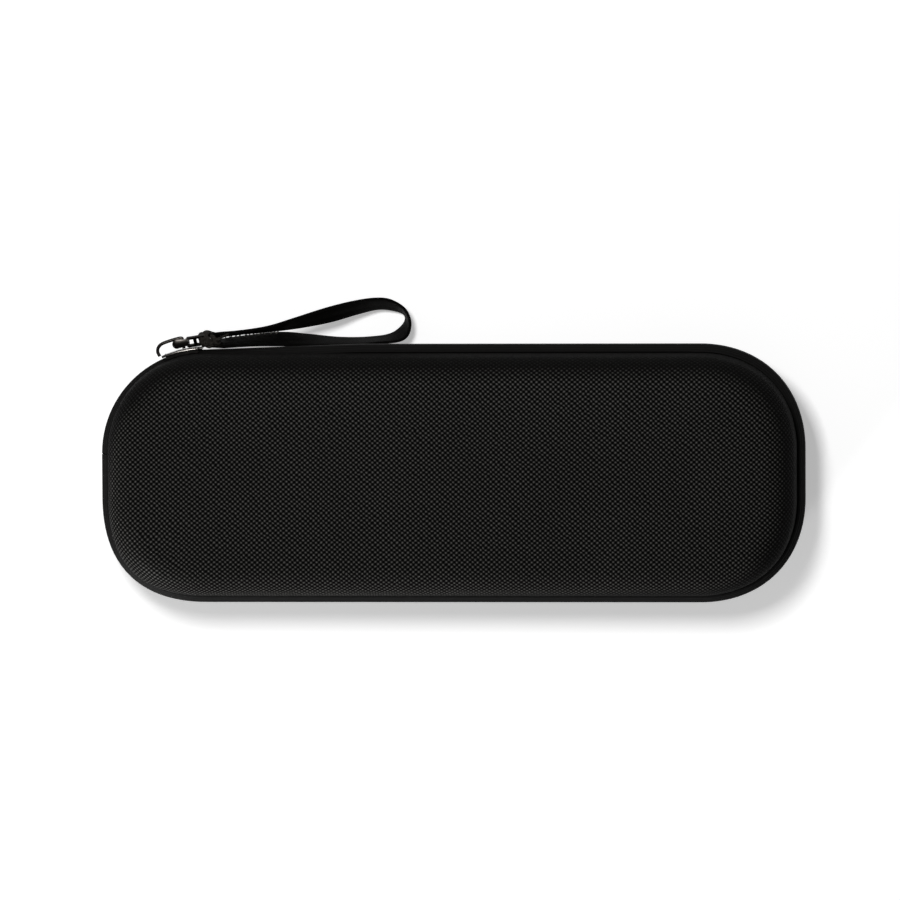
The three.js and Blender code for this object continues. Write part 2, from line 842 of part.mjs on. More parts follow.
function pullerBody() {
  const outline = new THREE.Shape();
  outline.absarc(0, 0, headWidth / 2, quarter, 3 * quarter);
  outline.lineTo(headLength, -headWidth / 3);
  outline.lineTo(headLength, headWidth / 3);
  const head = new THREE.ExtrudeGeometry(outline, {
    depth: headHeight,
    bevelEnabled: false,
    curveSegments: cornerSteps,
  }).translate(0, 0, -headHeight / 2);
  const fork = block(-headWidth, forkDepth, -headWidth, headWidth, -forkGap / 2, forkGap / 2);
  const bar = new THREE.CylinderGeometry(pivotRadius, pivotRadius, forkGap + cutOverrun, 12);
  bar.rotateX(quarter);
  let made = solid(head).subtract(solid(fork)).add(solid(bar));
  const tab = new THREE.Shape();
  tab.moveTo(tabStart, -tabWidth / 3);
  tab.lineTo(windowStart, -tabWidth / 2);
  tab.lineTo(tabEnd - tabWidth / 4, -tabWidth / 2);
  tab.quadraticCurveTo(tabEnd, -tabWidth / 2, tabEnd, -tabWidth / 4);
  tab.lineTo(tabEnd, tabWidth / 4);
  tab.quadraticCurveTo(tabEnd, tabWidth / 2, tabEnd - tabWidth / 4, tabWidth / 2);
  tab.lineTo(windowStart, tabWidth / 2);
  tab.lineTo(tabStart, tabWidth / 3);
  const plate = new THREE.ExtrudeGeometry(tab, {
    depth: tabThickness,
    bevelEnabled: false,
    curveSegments: roundSteps,
  })
    .translate(0, 0, -tabThickness / 2)
    .applyMatrix4(tiltTab);
  made = made.add(solid(plate));
  const through = tabThickness + 2 * cutOverrun;
  made = made.subtract(solid(tabBlock(windowStart, windowEnd, slotWidth, through)));
  made = made.subtract(solid(tabBlock(slotStart, slotEnd, slotWidth, through)));
  return geometryOf(made).applyMatrix4(pullerFrame);
}

// Wrist strap: the fold round the puller's slot, and the loop of webbing that lies behind the case.
// Each pair gives the webbing's upper and lower edge as shares of the loop's reach, spread and drop.
const loopShares = [
  [[-0.04, 0.28, 0.02], [-0.04, 0.17, 0.3]],
  [[0.1, 0.315, 0.06], [0.1, 0.2, 0.43]],
  [[0.26, 0.405, 0.2], [0.27, 0.265, 0.54]],
  [[0.4, 0.565, 0.36], [0.41, 0.32, 0.655]],
  [[0.57, 0.76, 0.56], [0.575, 0.435, 0.795]],
  [[0.7, 0.875, 0.74], [0.71, 0.575, 1.0]],
  [[0.81, 0.925, 0.84], [0.815, 0.665, 1.125]],
  [[0.89, 0.885, 0.9], [0.9, 0.635, 1.19]],
  [[0.97, 0.68, 0.92], [0.955, 0.55, 1.26]],
  [[0.998, 0.35, 0.9], [0.945, 0.38, 1.22]],
  [[0.955, 0.08, 0.83], [0.875, 0.19, 1.12]],
  [[0.82, 0.02, 0.69], [0.76, 0.13, 0.98]],
  [[0.66, -0.01, 0.52], [0.62, 0.14, 0.84]],
  [[0.48, -0.01, 0.38], [0.46, 0.2, 0.68]],
  [[0.32, 0.0, 0.3], [0.32, 0.2, 0.6]],
  [[0.16, 0.02, 0.2], [0.17, 0.13, 0.52]],
  [[-0.04, 0.08, 0.08], [-0.04, 0.09, 0.4]],
];
const foldMiddle = foldStart + foldLength / 2;

function strapLoop() {
  const foldEnd = new THREE.Vector3(foldStart + foldLength, 0, 0).applyMatrix4(pullerFrame);
  const edge = (which) =>
    new THREE.CatmullRomCurve3(
      loopShares.map((pair) => {
        const [reach, spread, drop] = pair[which];
        const topHeight = zipLine + foldHeight / 3;
        return new THREE.Vector3(
          foldEnd.x + reach * loopReach,
          halfWidth - cornerDrawIn / 2 + spread * loopSpread,
          topHeight - drop * loopDrop,
        );
      }),
    );
  const upper = edge(0);
  const lower = edge(1);
  const rings = [];
  for (let i = 0; i <= strapSteps; i += 1) {
    const share = i / strapSteps;
    const top = upper.getPoint(share);
    const bottom = lower.getPoint(share);
    const middle = top.clone().add(bottom).divideScalar(2);
    const across = top.clone().sub(bottom).setLength(webbingWidth / 2);
    const ahead = upper.getTangent(share).add(lower.getTangent(share));
    const side = ahead.cross(across).setLength(webbingThickness / 2);
    rings.push([
      middle.clone().add(across).add(side),
      middle.clone().sub(across).add(side),
      middle.clone().sub(across).sub(side),
      middle.clone().add(across).sub(side),
    ]);
  }
  return loft(rings, [[0, 1, 2], [0, 2, 3]]);
}

function wristStrap() {
  const lump = new THREE.SphereGeometry(1, 12, 8);
  lump.scale(foldLength / 2, foldWidth / 2, foldHeight / 2);
  lump.translate(foldMiddle, 0, -foldDrop);
  const wide = tabWidth + 2 * foldClearance;
  const thick = tabThickness + 2 * foldClearance;
  const room = tabBlock(windowStart, tabEnd + foldClearance, wide, thick);
  const bridgeWidth = slotWidth - 2 * foldClearance;
  const bridgeMiddle = (slotStart + slotEnd) / 2;
  const from = bridgeMiddle - foldBridge / 2;
  const bridge = tabBlock(from, from + foldBridge, bridgeWidth, thick + cutOverrun);
  const fold = solid(lump).subtract(solid(room)).add(solid(bridge));
  return geometryOf(solid(geometryOf(fold).applyMatrix4(pullerFrame)).add(solid(strapLoop())));
}

const slider = new THREE.Group();
group.add(slider);
piece(slider, "slider_body", geometryOf(sliderBody()), gunmetal);
piece(slider, "slider_bail", sliderBail(), gunmetal);
piece(slider, "puller", pullerBody(), gunmetal);
piece(slider, "wrist_strap", wristStrap(), webbing);

export default group;
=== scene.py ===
"""A zip-up travel case for an electric toothbrush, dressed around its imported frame."""

import json
import math
from functools import cache, partialmethod

import bmesh
import bpy
from mathutils import Matrix, Quaternion, Vector


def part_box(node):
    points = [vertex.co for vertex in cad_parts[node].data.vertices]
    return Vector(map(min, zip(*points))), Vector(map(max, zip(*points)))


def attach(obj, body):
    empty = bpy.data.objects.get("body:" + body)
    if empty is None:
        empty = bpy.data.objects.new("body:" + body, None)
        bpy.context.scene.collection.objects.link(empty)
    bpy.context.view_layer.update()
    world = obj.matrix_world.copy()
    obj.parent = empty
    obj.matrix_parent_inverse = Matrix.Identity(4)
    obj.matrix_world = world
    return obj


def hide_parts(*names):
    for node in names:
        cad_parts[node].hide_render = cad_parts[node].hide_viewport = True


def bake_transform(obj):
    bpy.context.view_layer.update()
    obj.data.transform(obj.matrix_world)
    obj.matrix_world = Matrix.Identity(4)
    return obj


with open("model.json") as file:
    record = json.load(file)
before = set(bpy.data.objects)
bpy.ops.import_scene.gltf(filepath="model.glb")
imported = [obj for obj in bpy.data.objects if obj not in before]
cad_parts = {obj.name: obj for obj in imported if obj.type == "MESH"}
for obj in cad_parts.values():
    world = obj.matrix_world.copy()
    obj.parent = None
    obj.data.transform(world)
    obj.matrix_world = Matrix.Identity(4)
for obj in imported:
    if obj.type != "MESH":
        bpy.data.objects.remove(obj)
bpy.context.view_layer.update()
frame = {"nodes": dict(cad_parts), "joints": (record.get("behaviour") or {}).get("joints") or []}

bl_info = {
    "name": "Toothbrush travel case",
    "version": (1, 0, 0),
    "blender": (4, 5, 0),
    "location": "View3D > Sidebar > Case",
    "description": "Builds the fabric, zip, hardware and stage of a moulded travel case",
    "category": "Object",
}

MM = 0.001

# Places taken from the frame
TAPE_LOW, TAPE_HIGH = (Vector(corner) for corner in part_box("base_zipper_tape"))
SHELL_HIGH = Vector(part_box("lid_shell")[1])
HALF_LENGTH = TAPE_HIGH.x
HALF_WIDTH = -TAPE_LOW.y
JOINTS = {joint["name"]: joint for joint in frame["joints"]}
HINGE = Vector(JOINTS["lid_hinge"]["pos_m"])
ZIP_LINE = HINGE.z
CORNER = Vector(JOINTS["slider_travel"]["pos_m"])
PIVOT = Vector(JOINTS["puller_swing"]["pos_m"])
CORNER_RADIUS = HALF_LENGTH + CORNER.x
CORNER_X = -CORNER.x
CORNER_Y = HALF_WIDTH - CORNER_RADIUS
BACK_Y = HALF_WIDTH


def length(default, text):
    """A size in metres that the sidebar shows."""
    return bpy.props.FloatProperty(
        description=text, default=default, min=0.0, subtype="DISTANCE", unit="LENGTH"
    )


def colour(default, text):
    """A surface colour that the sidebar shows."""
    return bpy.props.FloatVectorProperty(
        description=text, default=default, size=3, min=0.0, max=1.0, subtype="COLOR"
    )


class CaseSizes(bpy.types.PropertyGroup):
    """Sizes of the shells, the zip and the webbing."""

    crown_inset: length(HALF_LENGTH - SHELL_HIGH.x, "Zip's outermost line to the wall")
    wall: length(3.2 * MM, "Thickness of the moulded wall")
    edge: length(4.6 * MM, "Raw edge, from the parting line")
    lean: length(1.1 * MM, "How far the wall leans in")
    crown_round: length(10 * MM, "Round between wall and top")
    crown_rise: length(0.9 * MM, "Swell of the lid's top")
    base_round: length(7 * MM, "Round under the base")
    lining_gap: length(0.3 * MM, "Between wall and lining")
    lining: length(0.8 * MM, "Thickness of the lining")
    coil_pitch: length(1.3 * MM, "One turn of the coil")
    coil_wire: length(0.3 * MM, "Radius of the coil's wire")
    webbing: length(1.0 * MM, "Thickness of the webbing")
    warp: length(0.875 * MM, "Width of the cover's thread along the case")
    weft: length(0.79 * MM, "Width of the cover's thread across the case")


class CaseColours(bpy.types.PropertyGroup):
    """Colours of the finishes."""

    # The cover's two colours: the raised threads' colour carries a painted highlight, and the colour
    # between threads is painted shade in the gaps
    cover: colour((0.087, 0.0845, 0.0792), "Raised threads of the cover")
    cover_gap_painted_shade: colour((0.0002, 0.0002, 0.0002), "Between the threads")
    lining: colour((0.014, 0.014, 0.0155), "Knitted lining")
    tape: colour((0.0053, 0.0051, 0.0048), "Zip tape")
    coil: colour((0.012, 0.012, 0.0125), "Nylon coil")
    webbing: colour((0.0056, 0.0052, 0.0046), "Strap webbing")
    # The knot's colour is the webbing's made far lighter: a painted highlight on the knot, not tighter
    # webbing
    knot: colour((0.085, 0.077, 0.068), "Webbing where the knot pulls it tight")
    metal: colour((0.165, 0.155, 0.145), "Gunmetal plating")
    dark_metal: colour((0.02, 0.0185, 0.017), "The puller's darker plating")
    wire: colour((0.045, 0.041, 0.037), "The wire bridge's plating")
    thread: colour((0.085, 0.078, 0.068), "Stitching")
    floor: colour((0.95, 0.95, 0.95), "Plain floor")


def sizes():
    """The scene's sizes."""
    return bpy.context.scene.case_sizes


def colours():
    """The scene's colours."""
    return bpy.context.scene.case_colours


# Shader maths
class Value:
    """A node socket that takes part in plain arithmetic."""

    def __init__(self, shader, socket):
        self.shader = shader
        self.socket = socket

    def math(self, operation, *others):
        """A Math node with this socket first."""
        return self.shader.math(operation, self, *others)

    __add__ = partialmethod(math, "ADD")
    __sub__ = partialmethod(math, "SUBTRACT")
    __mul__ = partialmethod(math, "MULTIPLY")
    __truediv__ = partialmethod(math, "DIVIDE")
    abs = partialmethod(math, "ABSOLUTE")
    max = partialmethod(math, "MAXIMUM")
    power = partialmethod(math, "POWER")

    def __rsub__(self, other):
        return self.shader.math("SUBTRACT", other, self)

    def clamp(self):
        """Held between 0 and 1."""
        return self.max(0.0).math("MINIMUM", 1.0)

    def wave(self, width):
        """A sine that crosses zero once in each width."""
        return (self * (math.pi / width)).math("SINE")


class Shader:
    """A material under construction."""

    def __init__(self, name):
        self.material = bpy.data.materials.new(name)
        self.material.use_nodes = True
        self.tree = self.material.node_tree
        self.tree.nodes.clear()
        self.output = self.tree.nodes.new("ShaderNodeOutputMaterial")

    def node(self, kind, settings=None, **inputs):
        """Any node: its settings, then its sockets, by name or by number."""
        made = self.tree.nodes.new(kind)
        for key, value in (settings or {}).items():
            setattr(made, key, value)
        for key, value in inputs.items():
            name = int(key[1:]) if key[0] == "_" else key.replace("_", " ")
            self.feed(made.inputs[name], value)
        return made

    def feed(self, socket, value):
        """Links or sets one socket."""
        if isinstance(value, Value):
            self.tree.links.new(value.socket, socket)
        else:
            socket.default_value = value

    def math(self, operation, *values):
        """A Math node."""
        inputs = {f"_{place}": value for place, value in enumerate(values)}
        return self.value("ShaderNodeMath", 0, {"operation": operation}, **inputs)

    def value(self, kind, output, settings=None, **inputs):
        """One output of a new node."""
        return Value(self, self.node(kind, settings, **inputs).outputs[output])

    def axes(self, place):
        """The three numbers of a place."""
        split = self.node("ShaderNodeSeparateXYZ", Vector=place)
        return [Value(self, socket) for socket in split.outputs]

    def object_axes(self):
        """Object coordinates as three values."""
        return self.axes(self.value("ShaderNodeTexCoord", "Object"))

    def cloth_axes(self):
        """The piece's own UV map, in metres, as two values."""
        return self.axes(self.value("ShaderNodeUVMap", "UV", {"uv_map": "cloth"}))[:2]

    def noise(self, scale, detail=3.0, roughness=0.5):
        """Noise on Object coordinates, 0 to 1."""
        inputs = {"Scale": scale, "Detail": detail, "Roughness": roughness}
        inputs["Vector"] = self.value("ShaderNodeTexCoord", "Object")
        return self.value("ShaderNodeTexNoise", "Fac", **inputs)

    def mix(self, factor, low, high):
        """A colour between two."""
        return self.value("ShaderNodeMix", 2, {"data_type": "RGBA"}, _0=factor, _6=low, _7=high)

    def shade(self, factor, tint, least):
        """A colour that goes down to its least share."""
        return self.mix(factor, rgba(tint, least), rgba(tint))

    def surface(self, paint, roughness, relief, depth, **inputs):
        """The finished material, with a relief of 0 to 1 and its real depth."""
        bump = self.value("ShaderNodeBump", "Normal", Height=relief, Distance=depth, Strength=1.0)
        inputs.update(Base_Color=paint, Roughness=roughness, Normal=bump)
        self.feed(self.output.inputs["Surface"], self.value("ShaderNodeBsdfPrincipled", 0, **inputs))
        return self.material


def rgba(value, share=1.0):
    """A share of a colour, with full alpha."""
    return (*(channel * share for channel in value[:3]), 1.0)


def plain_weave(across, along, warp, weft):
    """Height of a plain weave, and which thread is on top, both 0 to 1."""
    first = across.wave(warp)
    second = along.wave(weft)
    both = first * second
    height = (first.abs() + both).max(second.abs() - both) * 0.5
    return height, both * 0.5 + 0.5


# The cover's threads are pressed flat on the round, below this height from the parting line, and painted
# darker there: painted shade on the shoulders
PRESSED_SHADE_FROM = 19.8 * MM
PRESSED_SHADE_OVER = 2.6 * MM
MATT_FROM = 16.5 * MM
MATT_OVER = 4.5 * MM
COVER_SHEEN = 0.2
# At the front and the left end, which face the low fill lamp, the open, lighter weave goes further down
# the wall: painted light there, while the back and the right end keep the painted shade
LIT_SIDES_OPEN_FURTHER = 6.5 * MM
# The threads wander, slowly over the case and unevenly from one to the next
DRIFT = 0.8 * MM
UNEVEN = 0.6 * MM
THREAD_EDGE = 3.4


def cover_cloth(name, tint):
    """Coarse woven polyester, moulded on foam: soft square threads over and under. Its colour holds a
    painted highlight on the threads on top, and painted shade in the gaps between threads and on the
    back and right shoulders.
    """
    shader = Shader(name)
    across, along = shader.cloth_axes()
    x, y, z = shader.object_axes()
    # front is a painted-light mask, strongest at the front left, that keeps the lighter open weave lower
    # on those sides
    front = (y * -0.9 / HALF_WIDTH - x * 0.6 / HALF_LENGTH).clamp()
    height = (z - ZIP_LINE).abs() + front * LIT_SIDES_OPEN_FURTHER
    open_unshaded = ((height - PRESSED_SHADE_FROM) / PRESSED_SHADE_OVER).clamp()
    raised = ((height - MATT_FROM) / MATT_OVER).clamp()
    drift = shader.noise(55.0, 2.0) * DRIFT
    uneven = shader.noise(420.0, 1.0) * UNEVEN
    size = sizes()
    across = across + drift + uneven
    along = along - drift + uneven
    weave, crossing = plain_weave(across, along, size.warp, size.weft)
    fibre = shader.noise(5200.0, 2.0, 0.7)
    patch = shader.noise(35.0, 3.0)
    thread = crossing.power(THREAD_EDGE)
    open_weave = thread * (fibre * 0.9 + 0.55) * (patch * 0.4 + 0.8)
    # Where pressed, the weave is flatter and its tone darker: partly a flattened weave, partly painted
    # shade
    painted_light_tone = open_weave * open_unshaded + (fibre * 0.05 + thread * 0.07 + 0.014) * (1.0 - open_unshaded)
    # The weave's colour runs from painted shade in the gaps to a painted highlight on the threads on top
    paint = shader.mix(painted_light_tone, rgba(colours().cover_gap_painted_shade), rgba(tint))
    relief = weave * 0.4 + crossing * 0.6 + fibre * 0.12
    rough = 0.8 - thread * 0.2
    sheen = thread * (fibre + 0.5) * raised * COVER_SHEEN
    gloss = {"Specular_IOR_Level": 0.02, "Coat_Weight": sheen, "Coat_Roughness": 0.48}
    return shader.surface(paint, rough, relief, 0.4 * MM, **gloss)


def knitted_cloth(name, tint, pitch, depth):
    """A fine knit on Object coordinates, for linings."""
    shader = Shader(name)
    x, y, z = shader.object_axes()
    knit = (x + z * 0.5).wave(pitch * MM).abs() * (y + z * 0.5).wave(pitch * MM).abs()
    fuzz = shader.noise(1800.0, 3.0, 0.6)
    paint = shader.shade(knit * 0.6 + fuzz * 0.4, tint, 0.45)
    return shader.surface(paint, 0.92, knit + fuzz * 0.4, depth * MM)


def ribbed_cloth(name, tint, rib, cross, depth):
    """Narrow woven tape: ribs along its length, crossed by finer picks."""
    shader = Shader(name)
    along, across = shader.cloth_axes()
    ribs = across.wave(rib * MM).abs()
    picks = along.wave(cross * MM).abs()
    height = ribs.power(0.6) * 0.7 + picks * 0.3
    fuzz = shader.noise(4000.0, 2.0, 0.6)
    paint = shader.shade(height * (fuzz * 0.5 + 0.7), tint, 0.25)
    relief = height + fuzz * 0.15
    return shader.surface(paint, 0.52, relief, depth * MM, Specular_IOR_Level=0.06)


HERRINGBONE_ROW = 1.75 * MM
HERRINGBONE_THREAD = 0.55 * MM


def webbing_cloth(name, tint, depth):
    """Strap webbing in a fine herringbone: chevrons that turn over at the middle of each row."""
    shader = Shader(name)
    along, across = shader.cloth_axes()
    off_middle = ((across / HERRINGBONE_ROW).math("FRACT") - 0.5).abs()
    slant = off_middle * HERRINGBONE_ROW * 1.6
    thread = (along + slant).wave(HERRINGBONE_THREAD).abs()
    groove = off_middle * 2.0
    fuzz = shader.noise(3600.0, 3.0, 0.65)
    speckle = shader.noise(1300.0, 2.0, 0.6).power(2.0) * 2.4
    height = thread * 0.75 + (1.0 - groove.power(6.0)) * 0.25
    paint = shader.shade(height * fuzz * speckle * 1.7, tint, 0.1)
    rough = 0.66 - thread * 0.1
    relief = height + fuzz * 0.3
    return shader.surface(paint, rough, relief, depth * MM, Specular_IOR_Level=0.04)


def nylon(name, tint, rough):
    """Drawn nylon wire."""
    shader = Shader(name)
    streak = shader.noise(2500.0, 2.0)
    paint = shader.shade(streak, tint, 0.6)
    return shader.surface(paint, streak * 0.15 + rough, streak, 0.02 * MM)


def gunmetal(name, tint):
    """Dark plated zinc: polished, with faint tumbling marks and lighter worn places."""
    shader = Shader(name)
    marks = shader.noise(700.0, 3.0, 0.6)
    wear = shader.noise(240.0, 2.0)
    paint = shader.shade(wear, tint, 0.4)
    return shader.surface(paint, marks * 0.14 + 0.14, marks, 0.003 * MM, Metallic=1.0)


def thread_cloth(name, tint):
    """Twisted sewing thread."""
    shader = Shader(name)
    x, y, _ = shader.object_axes()
    twist = (x + y).wave(0.25 * MM).abs()
    return shader.surface(shader.shade(twist, tint, 0.35), 0.7, twist, 0.05 * MM)


# Each finish: its maker, its material, its colour and the maker's own numbers, lengths in millimetres
FINISHES = {
    "cover": (cover_cloth, "cover_cloth", "cover"),
    "lining": (knitted_cloth, "lining_cloth", "lining", 0.9, 0.12),
    "tape": (ribbed_cloth, "zip_tape", "tape", 0.8, 0.35, 0.1),
    "binding": (ribbed_cloth, "binding_tape", "tape", 0.9, 0.45, 0.14),
    "elastic": (ribbed_cloth, "elastic_web", "tape", 1.1, 0.6, 0.25),
    "coil": (nylon, "coil_nylon", "coil", 0.34),
    "net": (nylon, "net_thread", "lining", 0.6),
    "webbing": (webbing_cloth, "webbing_cloth", "webbing", 0.2),
    # The knot's finish is the webbing with a painted highlight in its lighter colour
    "knot": (webbing_cloth, "knotted_webbing", "knot", 0.45),
    "metal": (gunmetal, "gunmetal", "metal"),
    # The puller's metal is the same gunmetal in a darker colour
    "dark metal": (gunmetal, "gunmetal_worn", "dark_metal"),
    "bridge metal": (gunmetal, "gunmetal_wire", "wire"),
    "thread": (thread_cloth, "sewing_thread", "thread"),
}


@cache
def finish_for(name):
    """Each finish is made once."""
    make, material, tint, *numbers = FINISHES[name]
    return make(material, getattr(colours(), tint), *numbers)


# Mesh tools
def mode(name):
    """Object or edit mode."""
    bpy.ops.object.mode_set(mode=name)


def deselect():
    """Object mode, with nothing selected."""
    if bpy.context.object and bpy.context.object.mode != "OBJECT":
        mode("OBJECT")
    bpy.ops.object.select_all(action="DESELECT")


def take(piece):
    """Selects one piece and makes it active."""
    deselect()
    piece.select_set(True)
    bpy.context.view_layer.objects.active = piece


def apply_modifier(piece, kind, **settings):
    """Adds a modifier, sets it and applies it."""
    take(piece)
    modifier = piece.modifiers.new(kind.title(), kind)
    for key, value in settings.items():
        setattr(modifier, key, value)
    bpy.ops.object.modifier_apply(modifier=modifier.name)


def soften(piece, width, angle):
    """Rounds all edges sharper than an angle."""
    apply_modifier(piece, "BEVEL", width=width, segments=3, limit_method="ANGLE", angle_limit=angle)


def smooth(piece, degrees=35):
    """Smooth shading, but for edges sharper than an angle."""
    take(piece)
    bpy.ops.object.shade_smooth_by_angle(angle=math.radians(degrees))


def settle(piece):
    """Puts a piece's place into its mesh."""
    take(piece)
    bpy.ops.object.transform_apply()


def dress(piece, finish, slot, body, *nodes):
    """Material, body and the nodes that the piece stands for; the slot is not used."""
    piece.data.materials.clear()
    piece.data.materials.append(finish_for(finish))
    if body:
        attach(piece, body)
    if nodes:
        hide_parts(*nodes)


def add_object(name, data):
    """An object for some data, linked to the scene."""
    piece = bpy.data.objects.new(name, data)
    bpy.context.collection.objects.link(piece)
    return piece


def lay_cloth(piece, place):
    """A UV map of real lengths, from each point's place in the flat cloth."""
    layer = piece.data.uv_layers.get("cloth") or piece.data.uv_layers.new(name="cloth")
    for loop in piece.data.loops:
        layer.data[loop.index].uv = place(piece.data.vertices[loop.vertex_index].co)
    layer.active = True


def run_round(points):
    """Lengths from the first point to each, and on to itself."""
    run = [0.0]
    for here, after in zip(points, points[1:] + points[:1]):
        run.append(run[-1] + (after - here).length)
    return run


def sweep(name, rings, angle, loop=False):
    """A smooth skin over closed rings of points, with a UV map of real lengths."""
    count = len(rings[0])
    steps = len(rings)
    faces = []
    lengths = []
    run = run_round([ring[0] for ring in rings])
    around = run_round(rings[0])
    for ring in range(steps if loop else steps - 1):
        here = ring * count
        after = (ring + 1) % steps * count
        for i in range(count):
            j = (i + 1) % count
            faces.append((here + i, here + j, after + j, after + i))
            low, high = run[ring], run[ring + 1]
            left, right = around[i], around[i + 1]
            lengths.append([(low, left), (low, right), (high, right), (high, left)])
    if not loop:
        last = (steps - 1) * count
        faces.append(tuple(reversed(range(count))))
        lengths.append([(0.0, around[i]) for i in reversed(range(count))])
        faces.append(tuple(range(last, last + count)))
        lengths.append([(run[-2], around[i]) for i in range(count)])
    mesh = bpy.data.meshes.new(name)
    mesh.from_pydata([tuple(point) for ring in rings for point in ring], [], faces)
    layer = mesh.uv_layers.new(name="cloth")
    for polygon, corners in zip(mesh.polygons, lengths):
        for index, place in zip(polygon.loop_indices, corners):
            layer.data[index].uv = place
    piece = add_object(name, mesh)
    take(piece)
    mode("EDIT")
    bpy.ops.mesh.select_all(action="SELECT")
    bpy.ops.mesh.normals_make_consistent()
    mode("OBJECT")
    smooth(piece, angle)
    return piece


def join(name, pieces):
    """Several pieces as one."""
    take(pieces[0])
    for piece in pieces[1:]:
        piece.select_set(True)
    bpy.ops.object.join()
    pieces[0].name = name
    return pieces[0]


def through(points, samples):
    """A smooth run of points through given ones."""
    made = []
    last = len(points) - 1
    for i in range(samples + 1):
        place = i / samples * last
        at = min(int(place), last - 1)
        share = place - at
        before = points[max(at - 1, 0)]
        first, second = points[at], points[at + 1]
        after = points[min(at + 2, last)]
        linear = (second - before) * share
        square = (2 * before - 5 * first + 4 * second - after) * share**2
        cube = (3 * first - before - 3 * second + after) * share**3
        made.append(0.5 * (2 * first + linear + square + cube))
    return made


def drawn_wire(name, spine, radius, resolution):
    """A round wire along a run of points."""
    curve = bpy.data.curves.new(name, "CURVE")
    curve.dimensions = "3D"
    curve.bevel_depth = radius
    curve.bevel_resolution = resolution
    curve.use_fill_caps = True
    spline = curve.splines.new("POLY")
    spline.points.add(len(spine) - 1)
    for point, place in zip(spline.points, spine):
        point.co = (*place, 1.0)
    take(add_object(name, curve))
    bpy.ops.object.convert(target="MESH")
    smooth(bpy.context.object, 60)
    return bpy.context.object


def wire(name, points, radius, samples):
    """A round wire through a few points."""
    return drawn_wire(name, through(points, samples), radius, 5)


# Zip route, as in the frame: it starts beside the hinge at the back left
ZIP_RUN_ON = 3 * MM
DRAW_IN_LENGTH = 51 * MM
ZIP_END = CORNER_X - ZIP_RUN_ON
DRAW_IN = CORNER_Y - CORNER.y
QUARTER = math.pi / 2
FULL_TURN = 4 * QUARTER


def back_edge(x):
    """The back edge is drawn in towards the slider's corner."""
    share = min(max((DRAW_IN_LENGTH - CORNER_X - x) / DRAW_IN_LENGTH, 0.0), 1.0)
    return BACK_Y - DRAW_IN * share


def route_parts():
    """The zip's route: lines from point to point, and arcs by their middle and first angle."""
    right, left = CORNER_X, -CORNER_X
    return [
        ((-ZIP_END, back_edge(-ZIP_END)), (left, back_edge(left))),
        ((left, CORNER.y), QUARTER),
        ((-HALF_LENGTH, CORNER.y), (-HALF_LENGTH, -CORNER_Y)),
        ((left, -CORNER_Y), 2 * QUARTER),
        ((left, -HALF_WIDTH), (right, -HALF_WIDTH)),
        ((right, -CORNER_Y), 3 * QUARTER),
        ((HALF_LENGTH, -CORNER_Y), (HALF_LENGTH, CORNER_Y)),
        ((right, CORNER_Y), FULL_TURN),
        ((right, BACK_Y), (ZIP_END, BACK_Y)),
    ]


def hinge_parts():
    """The hinge's route along the back, from right to left."""
    turn = (DRAW_IN_LENGTH - CORNER_X, BACK_Y)
    return [((ZIP_END, BACK_Y), turn), (turn, (-ZIP_END, back_edge(-ZIP_END)))]


def is_arc(part):
    """Whether a part of a route is an arc."""
    return isinstance(part[1], float)


def part_length(part):
    """Length of a line or an arc."""
    return CORNER_RADIUS * QUARTER if is_arc(part) else math.dist(*part)


def on_route(parts, distance):
    """Position and outward normal at a distance along a route."""
    for part in parts:
        span = part_length(part)
        if distance <= span or part is parts[-1]:
            break
        distance -= span
    start = Vector((*part[0], 0.0))
    if is_arc(part):
        angle = part[1] + distance / CORNER_RADIUS
        normal = Vector((math.cos(angle), math.sin(angle), 0.0))
        return start + normal * CORNER_RADIUS, normal
    ahead = Vector((*part[1], 0.0)) - start
    return start + ahead * (distance / span), Vector((ahead.y, -ahead.x, 0.0)).normalized()


def route_length(parts):
    """Length of a whole route."""
    return sum(part_length(part) for part in parts)


def route_steps(start, end, step):
    """Evenly spaced distances, both ends included."""
    count = max(2, round((end - start) / step))
    return [start + (end - start) * i / count for i in range(count + 1)]


# How far three of the corners stand out past a true quarter round; the slider's keeps it
FULLER = {(-1, -1): 1.7 * MM, (1, -1): 0.7 * MM, (1, 1): 0.6 * MM, (-1, 1): 0.0}


def past_corner(point):
    """How far a point is past its corner's middle, and the corner's signs."""
    over_x = abs(point.x) - CORNER_X
    over_y = abs(point.y) - CORNER_Y
    return over_x, over_y, math.copysign(1, point.x), math.copysign(1, point.y)


def fuller(point, share=1.0):
    """A point moved out with its corner's fuller round."""
    over_x, over_y, sign_x, sign_y = past_corner(point)
    if over_x <= 0.0 or over_y <= 0.0:
        return point
    reach = math.hypot(over_x, over_y)
    bulge = 4.0 * (over_x * over_y / reach**2) ** 2
    move = FULLER[sign_x, sign_y] * bulge * (reach / CORNER_RADIUS) ** 2 * share
    return point + Vector((sign_x * over_x, sign_y * over_y, 0.0)) * (move / reach)


def route_point(parts, distance, inset, height):
    """A point beside a route: inset from it and above the parting line."""
    point, normal = on_route(parts, distance)
    return fuller(point - normal * inset) + Vector((0.0, 0.0, ZIP_LINE + height))


SLACK = part_length(route_parts()[0]) + part_length(route_parts()[1])
ZIP_TOTAL = route_length(route_parts())
STATION = 2.2 * MM

